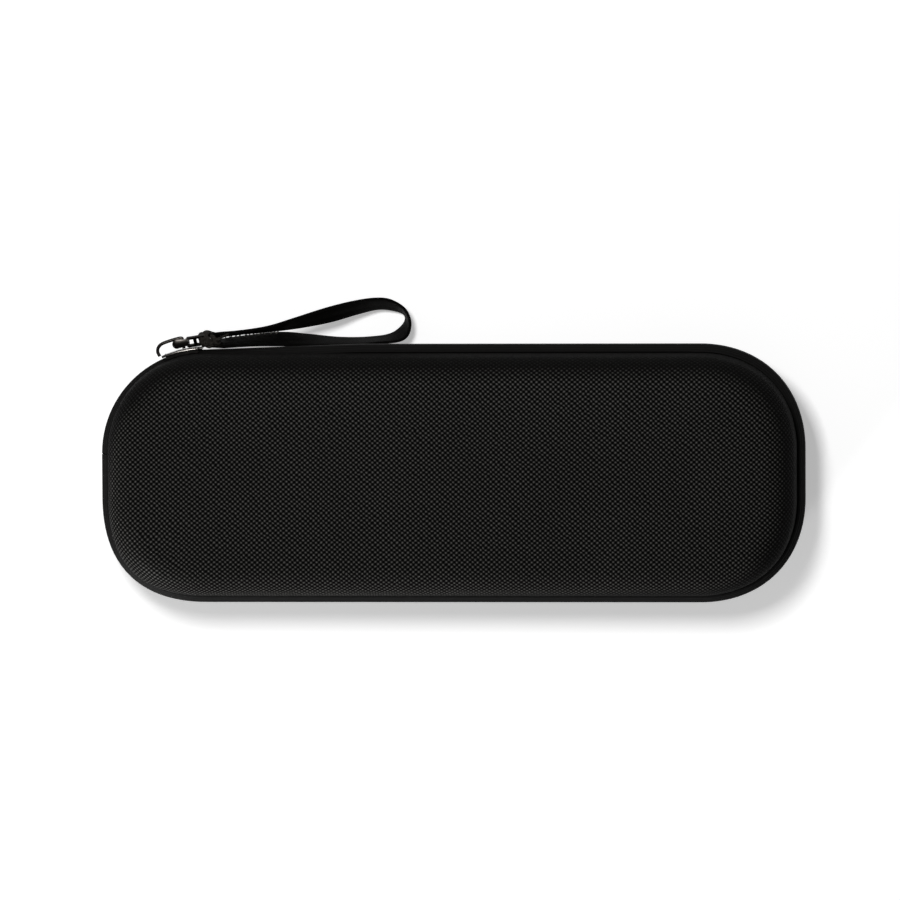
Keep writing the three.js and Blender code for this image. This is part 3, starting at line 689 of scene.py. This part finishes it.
# Sections in millimetres: inset from the zip's outermost line, and height from the parting line
TAPE_FRONT = [
    (4.6, 4.3), (3.9, 4.2), (3.5, 3.75), (3.3, 3.0), (3.05, 2.8), (2.8, 3.05), (2.55, 3.5),
    (2.2, 3.55), (1.7, 3.15), (1.2, 2.72), (0.75, 2.3), (0.35, 1.95), (0.1, 1.65), (0.02, 1.4),
]
TAPE_BACK = [
    (0.6, 1.3), (1.0, 1.75), (1.6, 2.3), (2.2, 2.75), (2.6, 2.5), (3.1, 2.1), (3.7, 2.4),
    (4.1, 3.5), (4.6, 3.7),
]
SELVEDGE = [(0.0, 0.25), (0.08, 0.06), (0.3, 0.0), (0.52, 0.06), (0.6, 0.25)]
SELVEDGE_PARTED = 0.75
SELVEDGE_CLOSED = 0.22
CLOSING = 8 * MM


def eased(share):
    """A share held between 0 and 1 that starts and stops gently."""
    share = min(max(share, 0.0), 1.0)
    return share * share * (3 - 2 * share)


def tape_section(distance):
    """The tape's section, whose selvedges meet once past the slider's travel."""
    share = eased((distance - SLACK + CLOSING / 2) / CLOSING)
    edge = SELVEDGE_PARTED + (SELVEDGE_CLOSED - SELVEDGE_PARTED) * share
    selvedge = [(inset, edge + height) for inset, height in SELVEDGE]
    return [(inset * MM, height * MM) for inset, height in TAPE_FRONT + selvedge + TAPE_BACK]


def swept_tape(name, side, start, end):
    """Half the zip's tape along the route."""
    parts = route_parts()
    rings = []
    for distance in route_steps(start, end, STATION):
        section = tape_section(distance)
        rings.append([route_point(parts, distance, inset, side * height) for inset, height in section])
    return sweep(name, rings, 50)


COIL_MIDDLE = 1.5 * MM
COIL_HALF = 0.3 * MM
COIL_OUTER = 1.3 * MM
COIL_INNER = -0.4 * MM
COIL_PARTED = 0.9 * MM
NECK_END = 9.0 * MM
COIL_POINTS = 10


def wound_coil(name, side, start, end):
    """Half the coil: one nylon wire, whose turns reach between the other half's."""
    parts = route_parts()
    pitch = sizes().coil_pitch
    shift = pitch / 2 if side > 0 else 0.0
    turns = int((end - start - shift) / pitch)
    spine = []
    for step in range(turns * COIL_POINTS + 1):
        angle = step / COIL_POINTS * FULL_TURN
        distance = start + shift + step / COIL_POINTS * pitch
        inner = COIL_PARTED if distance < NECK_END else COIL_INNER
        middle = (COIL_OUTER + inner) / 2
        half = (COIL_OUTER - inner) / 2
        wide = math.copysign(abs(math.sin(angle)) ** 0.7, math.sin(angle))
        tall = math.copysign(abs(math.cos(angle)) ** 0.8, math.cos(angle))
        inset = COIL_MIDDLE + COIL_HALF * wide
        spine.append(route_point(parts, distance, inset, side * (middle - half * tall)))
    return drawn_wire(name, spine, sizes().coil_wire, 0)


# Covers and linings
LID_SHARE = 1.35


def flat_place(point, side, inset, top, radius, lean):
    """Where a point of a moulded bowl lay in the flat cloth."""
    over_x, over_y, sign_x, sign_y = past_corner(point)
    if over_x > 0.0 and over_y > 0.0:
        reach = math.hypot(over_x, over_y)
        depth = CORNER_RADIUS - reach
        out = Vector((sign_x * over_x / reach, sign_y * over_y / reach))
    elif HALF_LENGTH - abs(point.x) < HALF_WIDTH - abs(point.y):
        depth = HALF_LENGTH - abs(point.x)
        out = Vector((sign_x, 0.0))
    else:
        depth = HALF_WIDTH - abs(point.y)
        out = Vector((0.0, sign_y))
    start = inset + lean + radius
    place = Vector((point.x, point.y))
    if depth >= start:
        return place
    height = side * (point.z - ZIP_LINE)
    turn = top - radius
    if height < turn:
        rolled = radius * QUARTER + (turn - height)
    else:
        angle = math.atan2(height - turn, max(radius - (depth - inset - lean), 0.0))
        rolled = radius * (QUARTER - angle)
    return place + out * (rolled - (start - depth))


SWELL_SHARES = (0.34, 0.26, 0.19, 0.13, 0.08)
SWELL_STEP = 3.3 * MM


def pick(piece, kind, test):
    """Selects the edges or faces that pass a test, in edit mode."""
    take(piece)
    mode("EDIT")
    bpy.ops.mesh.select_mode(type="FACE" if kind == "faces" else "EDGE")
    bpy.ops.mesh.select_all(action="DESELECT")
    mesh = bmesh.from_edit_mesh(piece.data)
    for element in getattr(mesh, kind):
        if test(element):
            element.select = True
    mesh.select_flush_mode()
    bmesh.update_edit_mesh(piece.data)


def moulded_bowl(name, side, inset, top, radius, wall, rise, corner_steps, round_steps):
    """A foam half: a box with its edges rounded, opened and hollowed."""
    lean = sizes().lean
    low = ZIP_LINE + side * sizes().edge
    high = ZIP_LINE + side * (top - rise)
    half_x = HALF_LENGTH - inset
    half_y = HALF_WIDTH - inset
    deselect()
    bpy.ops.mesh.primitive_cube_add(size=1.0, location=(0.0, 0.0, (low + high) / 2))
    piece = bpy.context.object
    piece.name = name
    piece.scale = (2 * half_x, 2 * half_y, abs(high - low))
    settle(piece)
    pick(piece, "edges", lambda e: abs(e.verts[0].co.z - e.verts[1].co.z) > MM)
    bpy.ops.mesh.bevel(offset=CORNER_RADIUS - inset, segments=corner_steps)
    pick(piece, "faces", lambda f: f.normal.z * side < -0.9)
    bpy.ops.mesh.delete(type="FACE")
    pick(piece, "faces", lambda f: f.normal.z * side > 0.9)
    shrink = (1 - lean / half_x, 1 - lean / half_y, 1.0)
    bpy.ops.transform.resize(value=shrink, center_override=(0.0, 0.0, high))
    pick(piece, "edges", lambda e: all(abs(v.co.z - high) < 0.01 * MM for v in e.verts))
    bpy.ops.mesh.bevel(offset=radius, segments=round_steps)
    if rise > 0.0:
        pick(piece, "faces", lambda f: abs(f.normal.z) > 0.99 and len(f.verts) > 4)
        for share in SWELL_SHARES:
            bpy.ops.mesh.inset(thickness=SWELL_STEP)
            bpy.ops.transform.translate(value=(0.0, 0.0, side * rise * share))
    mode("OBJECT")
    apply_modifier(piece, "SOLIDIFY", thickness=wall, offset=-1.0, use_even_offset=True)
    soften(piece, wall * 0.22, 1.0)
    lay_cloth(piece, lambda point: flat_place(point, side, inset, top - rise, radius, lean))
    for vertex in piece.data.vertices:
        vertex.co = fuller(vertex.co, LID_SHARE if side > 0 else 1.0)
    smooth(piece, 40)
    return piece


class CASE_OT_shells(bpy.types.Operator):
    """The moulded covers of lid and base and the linings inside them"""

    bl_idname = "case.shells"
    bl_label = "Shells and linings"

    def execute(self, context):
        size = sizes()
        depth = size.wall + size.lining_gap
        outer, inner = size.crown_inset, size.crown_inset + depth
        lid_top = SHELL_HIGH.z - ZIP_LINE
        high, low = lid_top - size.crown_rise - depth, ZIP_LINE - depth
        lid, base, thin = size.crown_round, size.base_round, size.lining
        # Name, finish, node, inset, top, round, wall, swell, and the corners' and the round's steps
        bowls = (
            ("lid_cover", "cover", "lid_shell", outer, lid_top, lid, size.wall, size.crown_rise, 24, 14),
            ("base_cover", "cover", "base_shell", outer, ZIP_LINE, base, size.wall, 0.0, 24, 10),
            ("lid_lining_cloth", "lining", "lid_lining", inner, high, lid - depth, thin, 0.0, 16, 7),
            ("base_lining_cloth", "lining", "base_lining", inner, low, base - depth, thin, 0.0, 16, 6),
        )
        for name, finish, node, *form in bowls:
            body = node.split("_")[0]
            piece = moulded_bowl(name, 1 if body == "lid" else -1, *form)
            dress(piece, finish, finish + "_fabric", body, node)
        return {"FINISHED"}


JOIN_GAP = 0.15 * MM
STOP_LENGTH = 2.2 * MM
COIL_START = 0.5 * MM
# Where the lid's last stretch of zip lets go of the base, and a rise for its tape and a run for its coil
# there
PARTING = Vector((-95.4, 37.3, 24.6)) * MM
TAPE_RISE = Vector((-0.29, -0.45, 3.62)) * MM
COIL_RUN = Vector((-13.4, -21.1, 0.0)) * MM


class CASE_OT_zip(bpy.types.Operator):
    """The zip's tapes and coils, its last stretch beside the slider, and its end stops"""

    bl_idname = "case.zip"
    bl_label = "Zip"

    def execute(self, context):
        joined, parted, stop = SLACK + JOIN_GAP, SLACK - JOIN_GAP, ZIP_TOTAL - STOP_LENGTH
        halves = (
            (swept_tape, "base_tape", -1, 0.0, ZIP_TOTAL, "base", "base_zipper_tape"),
            (swept_tape, "lid_tape", 1, joined, ZIP_TOTAL, "lid", "lid_zipper_tape"),
            (wound_coil, "base_coil", -1, joined, stop, "base", "base_zipper_coil"),
            (wound_coil, "base_coil_end", -1, COIL_START, parted, "base", "base_zipper_coil_end"),
            (wound_coil, "lid_coil", 1, joined, stop, "lid", "lid_zipper_coil"),
            (swept_tape, "lid_zip_end_tape", 1, 0.0, parted, None, "lid_zipper_end"),
            (wound_coil, "lid_zip_end_coil", 1, COIL_START, parted, None, "lid_zipper_end"),
        )
        for make, name, side, start, end, body, node in halves:
            piece = make(name, side, start, end)
            finish = "tape" if make is swept_tape else "coil"
            dress(piece, finish, "zip_" + finish, body, node)
            if body is None:
                rise = TAPE_RISE if make is swept_tape else COIL_RUN
                PARTING + rise
                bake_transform(piece)
        for body in ("base", "lid"):
            clip = body + "_stop_clip"
            refined(body + "_end_stop", clip, 0.12 * MM, "metal", "gunmetal", body)
        return {"FINISHED"}


BINDING_SECTION = [
    (0.0, 0.0), (0.5, 0.05), (1.05, 0.45), (1.3, 1.3), (1.45, 2.3), (1.4, 2.9), (0.9, 3.0), (0.35, 3.0),
]
BINDING_STEPS = 14


class CASE_OT_hinge(bpy.types.Operator):
    """The fabric hinge along the back and the bindings over the sewn edges inside"""

    bl_idname = "case.hinge"
    bl_label = "Hinge and bindings"

    def execute(self, context):
        parts = hinge_parts()
        out = TAPE_FRONT[:-1] + [(0.0, 1.1), (0.0, 0.0)]
        back = [(0.8, 0.0), (0.95, 1.1), (1.3, 1.9), (1.9, 2.5)] + TAPE_BACK[4:]
        front = out + [(inset, -height) for inset, height in reversed(out[:-1])]
        rear = [(inset, -height) for inset, height in reversed(back)] + back[1:]
        section = [(inset * MM, height * MM) for inset, height in front + rear]
        rings = [
            [route_point(parts, distance, *place) for place in section]
            for distance in route_steps(0.0, route_length(parts), 3 * MM)
        ]
        cloth = sweep("hinge_cloth", rings, 60)
        dress(cloth, "tape", "binding", None, "hinge_fabric")
        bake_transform(cloth)
        for side, body in ((-1, "base"), (1, "lid")):
            self.binding(side, body)
        return {"FINISHED"}

    def binding(self, side, body):
        """A folded tape round one raw edge, inside."""
        low, high = (Vector(corner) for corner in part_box(body + "_seam_binding"))
        inset = HALF_LENGTH - high.x
        near = side * ((low.z if side > 0 else high.z) - ZIP_LINE)
        rings = []
        for corner in range(4):
            middle_x = CORNER_X if corner in (0, 3) else -CORNER_X
            middle_y = CORNER_Y if corner < 2 else -CORNER_Y
            for i in range(BINDING_STEPS + 1):
                angle = (corner + i / BINDING_STEPS) * QUARTER
                ring = []
                for deeper, higher in BINDING_SECTION:
                    radius = CORNER_RADIUS - (inset + deeper * MM)
                    x = middle_x + radius * math.cos(angle)
                    y = middle_y + radius * math.sin(angle)
                    ring.append(fuller(Vector((x, y, ZIP_LINE + side * (near + higher * MM)))))
                rings.append(ring)
        piece = sweep(body + "_edge_binding", rings, 50, loop=True)
        dress(piece, "binding", "binding", body, body + "_seam_binding")


# Hardware
def refined(node, name, width, finish, slot, body):
    """A CAD piece with its edges softened, dressed."""
    piece = add_object(name, frame["nodes"][node].data.copy())
    take(piece)
    mode("EDIT")
    bpy.ops.mesh.select_all(action="SELECT")
    bpy.ops.mesh.remove_doubles(threshold=0.01 * MM)
    bpy.ops.mesh.dissolve_limited(angle_limit=math.radians(3))
    mode("OBJECT")
    soften(piece, width, math.radians(28))
    smooth(piece)
    dress(piece, finish, slot, body, node)
    return piece


# The wire bridge in millimetres: along the slider from the puller's pivot, and up from its plate
BRIDGE = [
    (6.6, 0.1), (6.6, 1.8), (5.6, 3.15), (3.6, 3.65), (-1.25, 3.65), (-1.75, 2.65), (-1.75, 0.1),
]


class CASE_OT_slider(bpy.types.Operator):
    """The slider, its wire bridge and the puller"""

    bl_idname = "case.slider"
    bl_label = "Slider and puller"

    def execute(self, context):
        refined("slider_body", "slider_casting", 0.22 * MM, "metal", "gunmetal", "slider")
        self.bridge()
        refined("puller", "puller_casting", 0.16 * MM, "dark metal", "gunmetal", "puller")
        return {"FINISHED"}

    def bridge(self):
        """The wire that the puller hangs in, bent over the slider's plate."""
        plate = CORNER_RADIUS + 1.0 * MM
        turn = math.atan2(PIVOT.y - CORNER.y, PIVOT.x - CORNER.x)

        def beside(shift, height):
            angle = turn + shift * MM / plate
            reach = plate + height * MM
            return CORNER + Vector((math.cos(angle) * reach, math.sin(angle) * reach, 0.0))

        piece = wire("slider_bridge", [beside(*place) for place in BRIDGE], 0.56 * MM, 60)
        dress(piece, "bridge metal", "gunmetal", "slider", "slider_bail")


# Wrist strap
LOOP_SHARES = [
    ((-0.04, 0.27, 0.02), (-0.04, 0.17, 0.3)),
    ((0.1, 0.3, 0.06), (0.1, 0.235, 0.42)),
    ((0.26, 0.385, 0.2), (0.27, 0.29, 0.53)),
    ((0.4, 0.545, 0.36), (0.41, 0.345, 0.655)),
    ((0.57, 0.745, 0.56), (0.575, 0.455, 0.795)),
    ((0.7, 0.86, 0.74), (0.71, 0.595, 1.0)),
    ((0.81, 0.91, 0.84), (0.815, 0.685, 1.125)),
    ((0.89, 0.87, 0.9), (0.9, 0.655, 1.19)),
    ((0.965, 0.67, 0.92), (0.955, 0.56, 1.26)),
    ((0.99, 0.35, 0.9), (0.95, 0.38, 1.22)),
    ((0.955, 0.08, 0.83), (0.88, 0.19, 1.12)),
    ((0.82, 0.02, 0.69), (0.76, 0.12, 0.98)),
    ((0.66, -0.01, 0.52), (0.62, 0.13, 0.84)),
    ((0.48, -0.01, 0.38), (0.46, 0.205, 0.68)),
    ((0.32, 0.0, 0.3), (0.32, 0.26, 0.61)),
    ((0.16, 0.0, 0.2), (0.17, 0.21, 0.55)),
    ((-0.04, -0.03, 0.08), (-0.04, 0.1, 0.4)),
]
LOOP_REACH = 63 * MM
LOOP_SPREAD = 16.4 * MM
LOOP_DROP = 19.4 * MM
PULLER_TURN = math.radians(9)
TAB_TILT = math.radians(35)
FOLD_START = 6.7 * MM
FOLD_LENGTH = 6.4 * MM
GATHERED = 0.5
GATHER_LENGTH = 5.5 * MM
PULLER_PLACE = Matrix.Translation(PIVOT) @ Matrix.Rotation(PULLER_TURN, 4, "Z")


def loop_edges():
    """The webbing's upper and lower edges, as in the frame."""
    start = PULLER_PLACE @ Vector((FOLD_START + FOLD_LENGTH, 0.0, 0.0))
    top = ZIP_LINE + 1.8 * MM
    edges = []
    for which in (0, 1):
        points = []
        for pair in LOOP_SHARES:
            reach, spread, drop = pair[which]
            x = start.x + reach * LOOP_REACH
            y = BACK_Y - DRAW_IN / 2 + spread * LOOP_SPREAD
            points.append(Vector((x, y, top - drop * LOOP_DROP)))
        edges.append(through(points, 150))
    return edges


def to_width(upper, lower, width):
    """The same edges, the webbing's width apart, and gathered at the knot."""
    first = (upper[0] + lower[0]) / 2
    last = (upper[-1] + lower[-1]) / 2
    wide = [[], []]
    for top, bottom in zip(upper, lower):
        middle = (top + bottom) / 2
        away = min((middle - first).length, (middle - last).length)
        spread = GATHERED + (1 - GATHERED) * eased(away / GATHER_LENGTH)
        half = (top - bottom).normalized() * (width / 2 * spread)
        wide[0].append(middle + half)
        wide[1].append(middle - half)
    return wide


SELVEDGE_ROUND = [
    (-1.0, 0.0), (-0.97, 0.75), (-0.88, 1.0), (-0.45, 0.9), (0.0, 0.88), (0.45, 0.9), (0.88, 1.0),
    (0.97, 0.75),
]


def ribbon(name, upper, lower, thickness):
    """Webbing between two edges, with rounded selvedges."""
    rings = []
    last = len(upper) - 1
    for i in range(last + 1):
        middle = (upper[i] + lower[i]) / 2
        across = (upper[i] - lower[i]) / 2
        ahead = upper[min(i + 1, last)] + lower[min(i + 1, last)]
        ahead = ahead - upper[max(i - 1, 0)] - lower[max(i - 1, 0)]
        side = ahead.cross(across).normalized() * (thickness / 2)
        ring = [middle + across * share + side * depth for share, depth in SELVEDGE_ROUND]
        ring += [middle - across * share - side * depth for share, depth in SELVEDGE_ROUND]
        rings.append(ring)
    return sweep(name, rings, 60)


# The knot in millimetres from the puller's pivot: each wrap's place, its two radii and its turn
WRAPS = [
    ((9.0, -0.1, -1.3), 1.9, 1.0, (0.0, 1.35, 0.5)),
    ((10.8, 0.0, -1.5), 2.2, 1.1, (0.15, 1.2, 0.85)),
    ((12.5, -0.5, -1.6), 1.8, 1.0, (-0.1, 1.45, 0.35)),
    ((9.9, -1.4, -1.3), 1.15, 0.8, (0.3, 1.0, 1.2)),
]
TURNED_EDGE = [
    (7.9, -2.1, -0.4), (10.0, -1.8, 0.7), (12.4, -1.0, 1.25), (14.9, -0.1, 1.3), (17.3, 0.6, 1.1),
]
SLOT_FOLD = [
    (10.4, 1.15), (9.2, 1.2), (8.0, 1.1), (7.45, 0.0), (8.0, -1.1), (9.2, -1.2), (10.4, -1.15),
]
SLOT_FOLD_WIDTH = 2.1 * MM
STITCHES = 15
STITCH_FIRST = 0.03
STITCH_SPACING = 0.0078
STITCH_EDGE = 0.07
STITCH_LEAN = 0.55 * MM
STITCH_LIFT = Vector((0.0, 0.0, 0.35 * MM))


class CASE_OT_strap(bpy.types.Operator):
    """The wrist loop of webbing, its knot round the puller and its stitches"""

    bl_idname = "case.strap"
    bl_label = "Wrist strap"

    def execute(self, context):
        upper, lower = to_width(*loop_edges(), 7 * MM)
        loop = ribbon("strap_loop", upper, lower, sizes().webbing)
        dress(loop, "webbing", "webbing", "puller", "wrist_strap")
        knot = self.knot()
        dress(knot, "knot", "webbing", "puller", "wrist_strap")
        self.stitches(upper, lower)
        return {"FINISHED"}

    def knot(self):
        """The webbing passes through the slot and back under its own loop."""
        pieces = []
        for place, major, minor, turn in WRAPS:
            deselect()
            bpy.ops.mesh.primitive_torus_add(
                major_radius=major * MM,
                minor_radius=minor * MM,
                major_segments=28,
                rotation=turn,
                location=[value * MM for value in place],
            )
            wrap = bpy.context.object
            wrap.scale = (1.12, 1.0, 0.95)
            settle(wrap)
            pieces.append(wrap)
        pieces.append(self.slot_fold())
        edge = [Vector(place) * MM for place in TURNED_EDGE]
        pieces.append(wire("turned_edge", edge, 0.42 * MM, 24))
        knot = join("strap_knot", pieces)
        knot.data.transform(PULLER_PLACE)
        lay_cloth(knot, lambda point: (point.x + point.z * 0.7, point.y - point.z * 0.6))
        smooth(knot, 60)
        return knot

    def slot_fold(self):
        """Two layers that leave the slot above and below the puller's plate."""
        tilt = Matrix.Rotation(TAB_TILT, 4, "X")
        points = through([Vector((along * MM, 0.0, up * MM)) for along, up in SLOT_FOLD], 40)
        half = Vector((0.0, SLOT_FOLD_WIDTH / 2, 0.0))
        upper = [tilt @ (point + half) for point in points]
        lower = [tilt @ (point - half) for point in points]
        return ribbon("slot_fold", upper, lower, 0.75 * MM)

    def stitches(self, upper, lower):
        """Short stitches that hold the two layers together behind the knot."""
        pieces = []
        last = len(upper) - 1
        for i in range(STITCHES):
            near = round((STITCH_FIRST + STITCH_SPACING * i) * last)
            edge = lower[near]
            far = min(range(last // 2, last), key=lambda j: abs(lower[j].x - edge.x))
            first = edge * (1 - STITCH_EDGE) + upper[near] * STITCH_EDGE
            second = lower[far] * (1 - STITCH_EDGE) + upper[far] * STITCH_EDGE
            lean = (lower[near + 1] - edge).normalized() * (STITCH_LEAN if i % 2 else -STITCH_LEAN)
            middle = (first + second) / 2 + 3 * STITCH_LIFT
            points = [first - lean + STITCH_LIFT, middle, second + lean + 2 * STITCH_LIFT]
            pieces.append(wire("stitch", points, 0.2 * MM, 6))
        stitch = join("strap_stitches", pieces)
        dress(stitch, "thread", "webbing", "puller")


BRUSH_STRAP = 1.2 * MM
NET_CELL = 2.6 * MM
NET_THREAD = 0.42 * MM


class CASE_OT_inside(bpy.types.Operator):
    """The brush straps in the base and the net pocket in the lid"""

    bl_idname = "case.inside"
    bl_label = "Inside"

    def execute(self, context):
        for side in ("left", "right"):
            self.brush_strap(side)
        self.net()
        for node, name, width, finish in (
            ("pocket_hem", "pocket_hem_elastic", 0.4 * MM, "elastic"),
            ("pocket_binding", "pocket_edge_binding", 0.3 * MM, "binding"),
        ):
            piece = refined(node, name, width, finish, finish, "lid")
            lay_cloth(piece, lambda point: (point.x, point.y + point.z))
        return {"FINISHED"}

    def brush_strap(self, side):
        """A band of ribbed elastic across the base."""
        node = "brush_strap_" + side
        low, high = (Vector(corner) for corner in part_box(node))
        middle = (low.x + high.x) / 2
        reach = high.y - BRUSH_STRAP / 2
        crown = high.z - BRUSH_STRAP / 2
        rising = [(-reach, low.z), (-reach, low.z + 3.4 * MM)]
        rising += [(-reach + 1.8 * MM, low.z + 5.6 * MM), (-reach / 2, crown - 0.45 * MM)]
        falling = [(-y, z) for y, z in reversed(rising)]
        spine = [Vector((middle, y, z)) for y, z in rising + [(0.0, crown)] + falling]
        points = through(spine, 64)
        half = Vector(((high.x - low.x) / 2, 0.0, 0.0))
        near = [point - half for point in points]
        far = [point + half for point in points]
        piece = ribbon(node + "_web", near, far, BRUSH_STRAP)
        dress(piece, "elastic", "elastic", "base", node)

    def net(self):
        """Knotted net between the binding and the hem."""
        low, high = (Vector(corner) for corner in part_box("pocket_net"))
        across = round((high.x - low.x) / NET_CELL)
        deep = round((high.y - low.y) / NET_CELL)
        deselect()
        bpy.ops.mesh.primitive_grid_add(
            x_subdivisions=across, y_subdivisions=deep, size=1.0, location=(low + high) / 2
        )
        piece = bpy.context.object
        piece.name = "pocket_net_threads"
        piece.scale = (high.x - low.x, high.y - low.y, 1.0)
        settle(piece)
        radius = CORNER_RADIUS - (HALF_LENGTH - high.x)

        def outside(vertex):
            over_x, over_y, _, back = past_corner(vertex.co)
            return min(over_x, over_y, back) > 0.0 and math.hypot(over_x, over_y) > radius

        pick(piece, "faces", lambda face: any(outside(vertex) for vertex in face.verts))
        bpy.ops.mesh.delete(type="FACE")
        mode("OBJECT")
        apply_modifier(piece, "WIREFRAME", thickness=NET_THREAD, use_even_offset=False)
        smooth(piece, 60)
        dress(piece, "net", "net", "lid", "pocket_net")


# The photograph: its side, the case's length in it and the case's middle, in pixels
PICTURE = 900
CASE_PIXELS = 702.5
CASE_MIDDLE = (454, 473)
PICTURE_MIDDLE = (451, 450)
CAMERA_DISTANCE = 2.5
LENS_TRIM = 1.003
LEAN_BACK = math.radians(4.2)
LEAN_RIGHT = math.radians(3.5)
ROLL = math.radians(0.28)
KEY = ((-0.143, 0.345, 1.15), 0.21, 8.6)
FILL = ((-0.62, -0.8, 0.13), 0.22, 9.2)
SURROUND = 0.12
FLOOR_GLOW = 0.38


class CASE_OT_stage(bpy.types.Operator):
    """Floor, lamps and camera"""

    bl_idname = "case.stage"
    bl_label = "Stage"

    def execute(self, context):
        self.camera()
        self.floor()
        self.lamps()
        context.scene.view_settings.view_transform = "Standard"
        return {"FINISHED"}

    def camera(self):
        """Above the case, a little behind it and to its right."""
        scale = 2 * HALF_LENGTH / CASE_PIXELS
        data = bpy.data.cameras.new("camera")
        data.sensor_width = 36.0
        data.lens = data.sensor_width * CAMERA_DISTANCE / (PICTURE * scale) * LENS_TRIM
        aim_x = (PICTURE_MIDDLE[0] - CASE_MIDDLE[0]) * scale
        aim_y = (CASE_MIDDLE[1] - PICTURE_MIDDLE[1]) * scale
        aim = Vector((aim_x, aim_y, ZIP_LINE))
        away = Vector((math.tan(LEAN_RIGHT), math.tan(LEAN_BACK), 1.0)).normalized()
        camera = add_object("camera", data)
        camera.location = aim + away * CAMERA_DISTANCE
        right = Vector((0.0, 1.0, 0.0)).cross(away).normalized()
        right.rotate(Quaternion(away, -ROLL))
        up = away.cross(right)
        camera.rotation_euler = Matrix((right, up, away)).transposed().to_euler()
        bpy.context.scene.camera = camera

    def floor(self):
        """A pale floor that the camera sees as white where no shadow falls."""
        deselect()
        bpy.ops.mesh.primitive_plane_add(size=6.0, location=(0.0, 0.0, -0.05 * MM))
        floor = bpy.context.object
        floor.name = "floor"
        shader = Shader("floor_paper")
        white = (1.0, 1.0, 1.0, 1.0)
        paper = shader.value("ShaderNodeBsdfDiffuse", 0, Color=rgba(colours().floor))
        glow = shader.value("ShaderNodeEmission", 0, Color=white, Strength=FLOOR_GLOW)
        both = shader.value("ShaderNodeAddShader", 0, _0=paper, _1=glow)
        kinds = ("Is Camera Ray", "Is Glossy Ray", "Is Transmission Ray")
        camera, glossy, clear = (shader.value("ShaderNodeLightPath", kind) for kind in kinds)
        seen = camera.max(glossy).max(clear)
        choice = shader.value("ShaderNodeMixShader", 0, _0=seen, _1=paper, _2=both)
        shader.feed(shader.output.inputs["Surface"], choice)
        floor.data.materials.append(shader.material)

    def lamp(self, name, place, width, power):
        """A soft square lamp that faces the case."""
        data = bpy.data.lights.new(name, "AREA")
        data.size = width
        data.energy = power
        lamp = add_object(name, data)
        lamp.location = place
        lamp.rotation_euler = (-Vector(place)).to_track_quat("-Z", "Y").to_euler()

    def lamps(self):
        """A key whose shadow falls to the right, and a low fill from the near left."""
        self.lamp("key", *KEY)
        self.lamp("fill", *FILL)
        world = bpy.data.worlds.new("world")
        world.use_nodes = True
        background = world.node_tree.nodes["Background"]
        background.inputs["Color"].default_value = (1.0, 1.0, 1.0, 1.0)
        background.inputs["Strength"].default_value = SURROUND
        bpy.context.scene.world = world


class CASE_PT_panel(bpy.types.Panel):
    """Lists the sizes, colours and steps"""

    bl_label = "Travel case"
    bl_space_type = "VIEW_3D"
    bl_region_type = "UI"
    bl_category = "Case"

    def draw(self, context):
        for settings in (context.scene.case_sizes, context.scene.case_colours):
            for name in settings.__annotations__:
                self.layout.prop(settings, name, text=name.replace("_", " ").capitalize())
        for step in STEPS:
            self.layout.operator(step.bl_idname)


STEPS = (
    CASE_OT_stage,
    CASE_OT_shells,
    CASE_OT_zip,
    CASE_OT_hinge,
    CASE_OT_slider,
    CASE_OT_strap,
    CASE_OT_inside,
)
CLASSES = (CaseSizes, CaseColours, *STEPS, CASE_PT_panel)


def register():
    """Adds the classes and the scene's settings."""
    for item in CLASSES:
        bpy.utils.register_class(item)
    bpy.types.Scene.case_sizes = bpy.props.PointerProperty(type=CaseSizes)
    bpy.types.Scene.case_colours = bpy.props.PointerProperty(type=CaseColours)


def unregister():
    """Takes them away again."""
    del bpy.types.Scene.case_sizes
    del bpy.types.Scene.case_colours
    for item in reversed(CLASSES):
        bpy.utils.unregister_class(item)


def main():
    """Builds everything."""
    register()
    for step in STEPS:
        group, name = step.bl_idname.split(".")
        getattr(getattr(bpy.ops, group), name)()


if __name__ == "__main__":
    main()
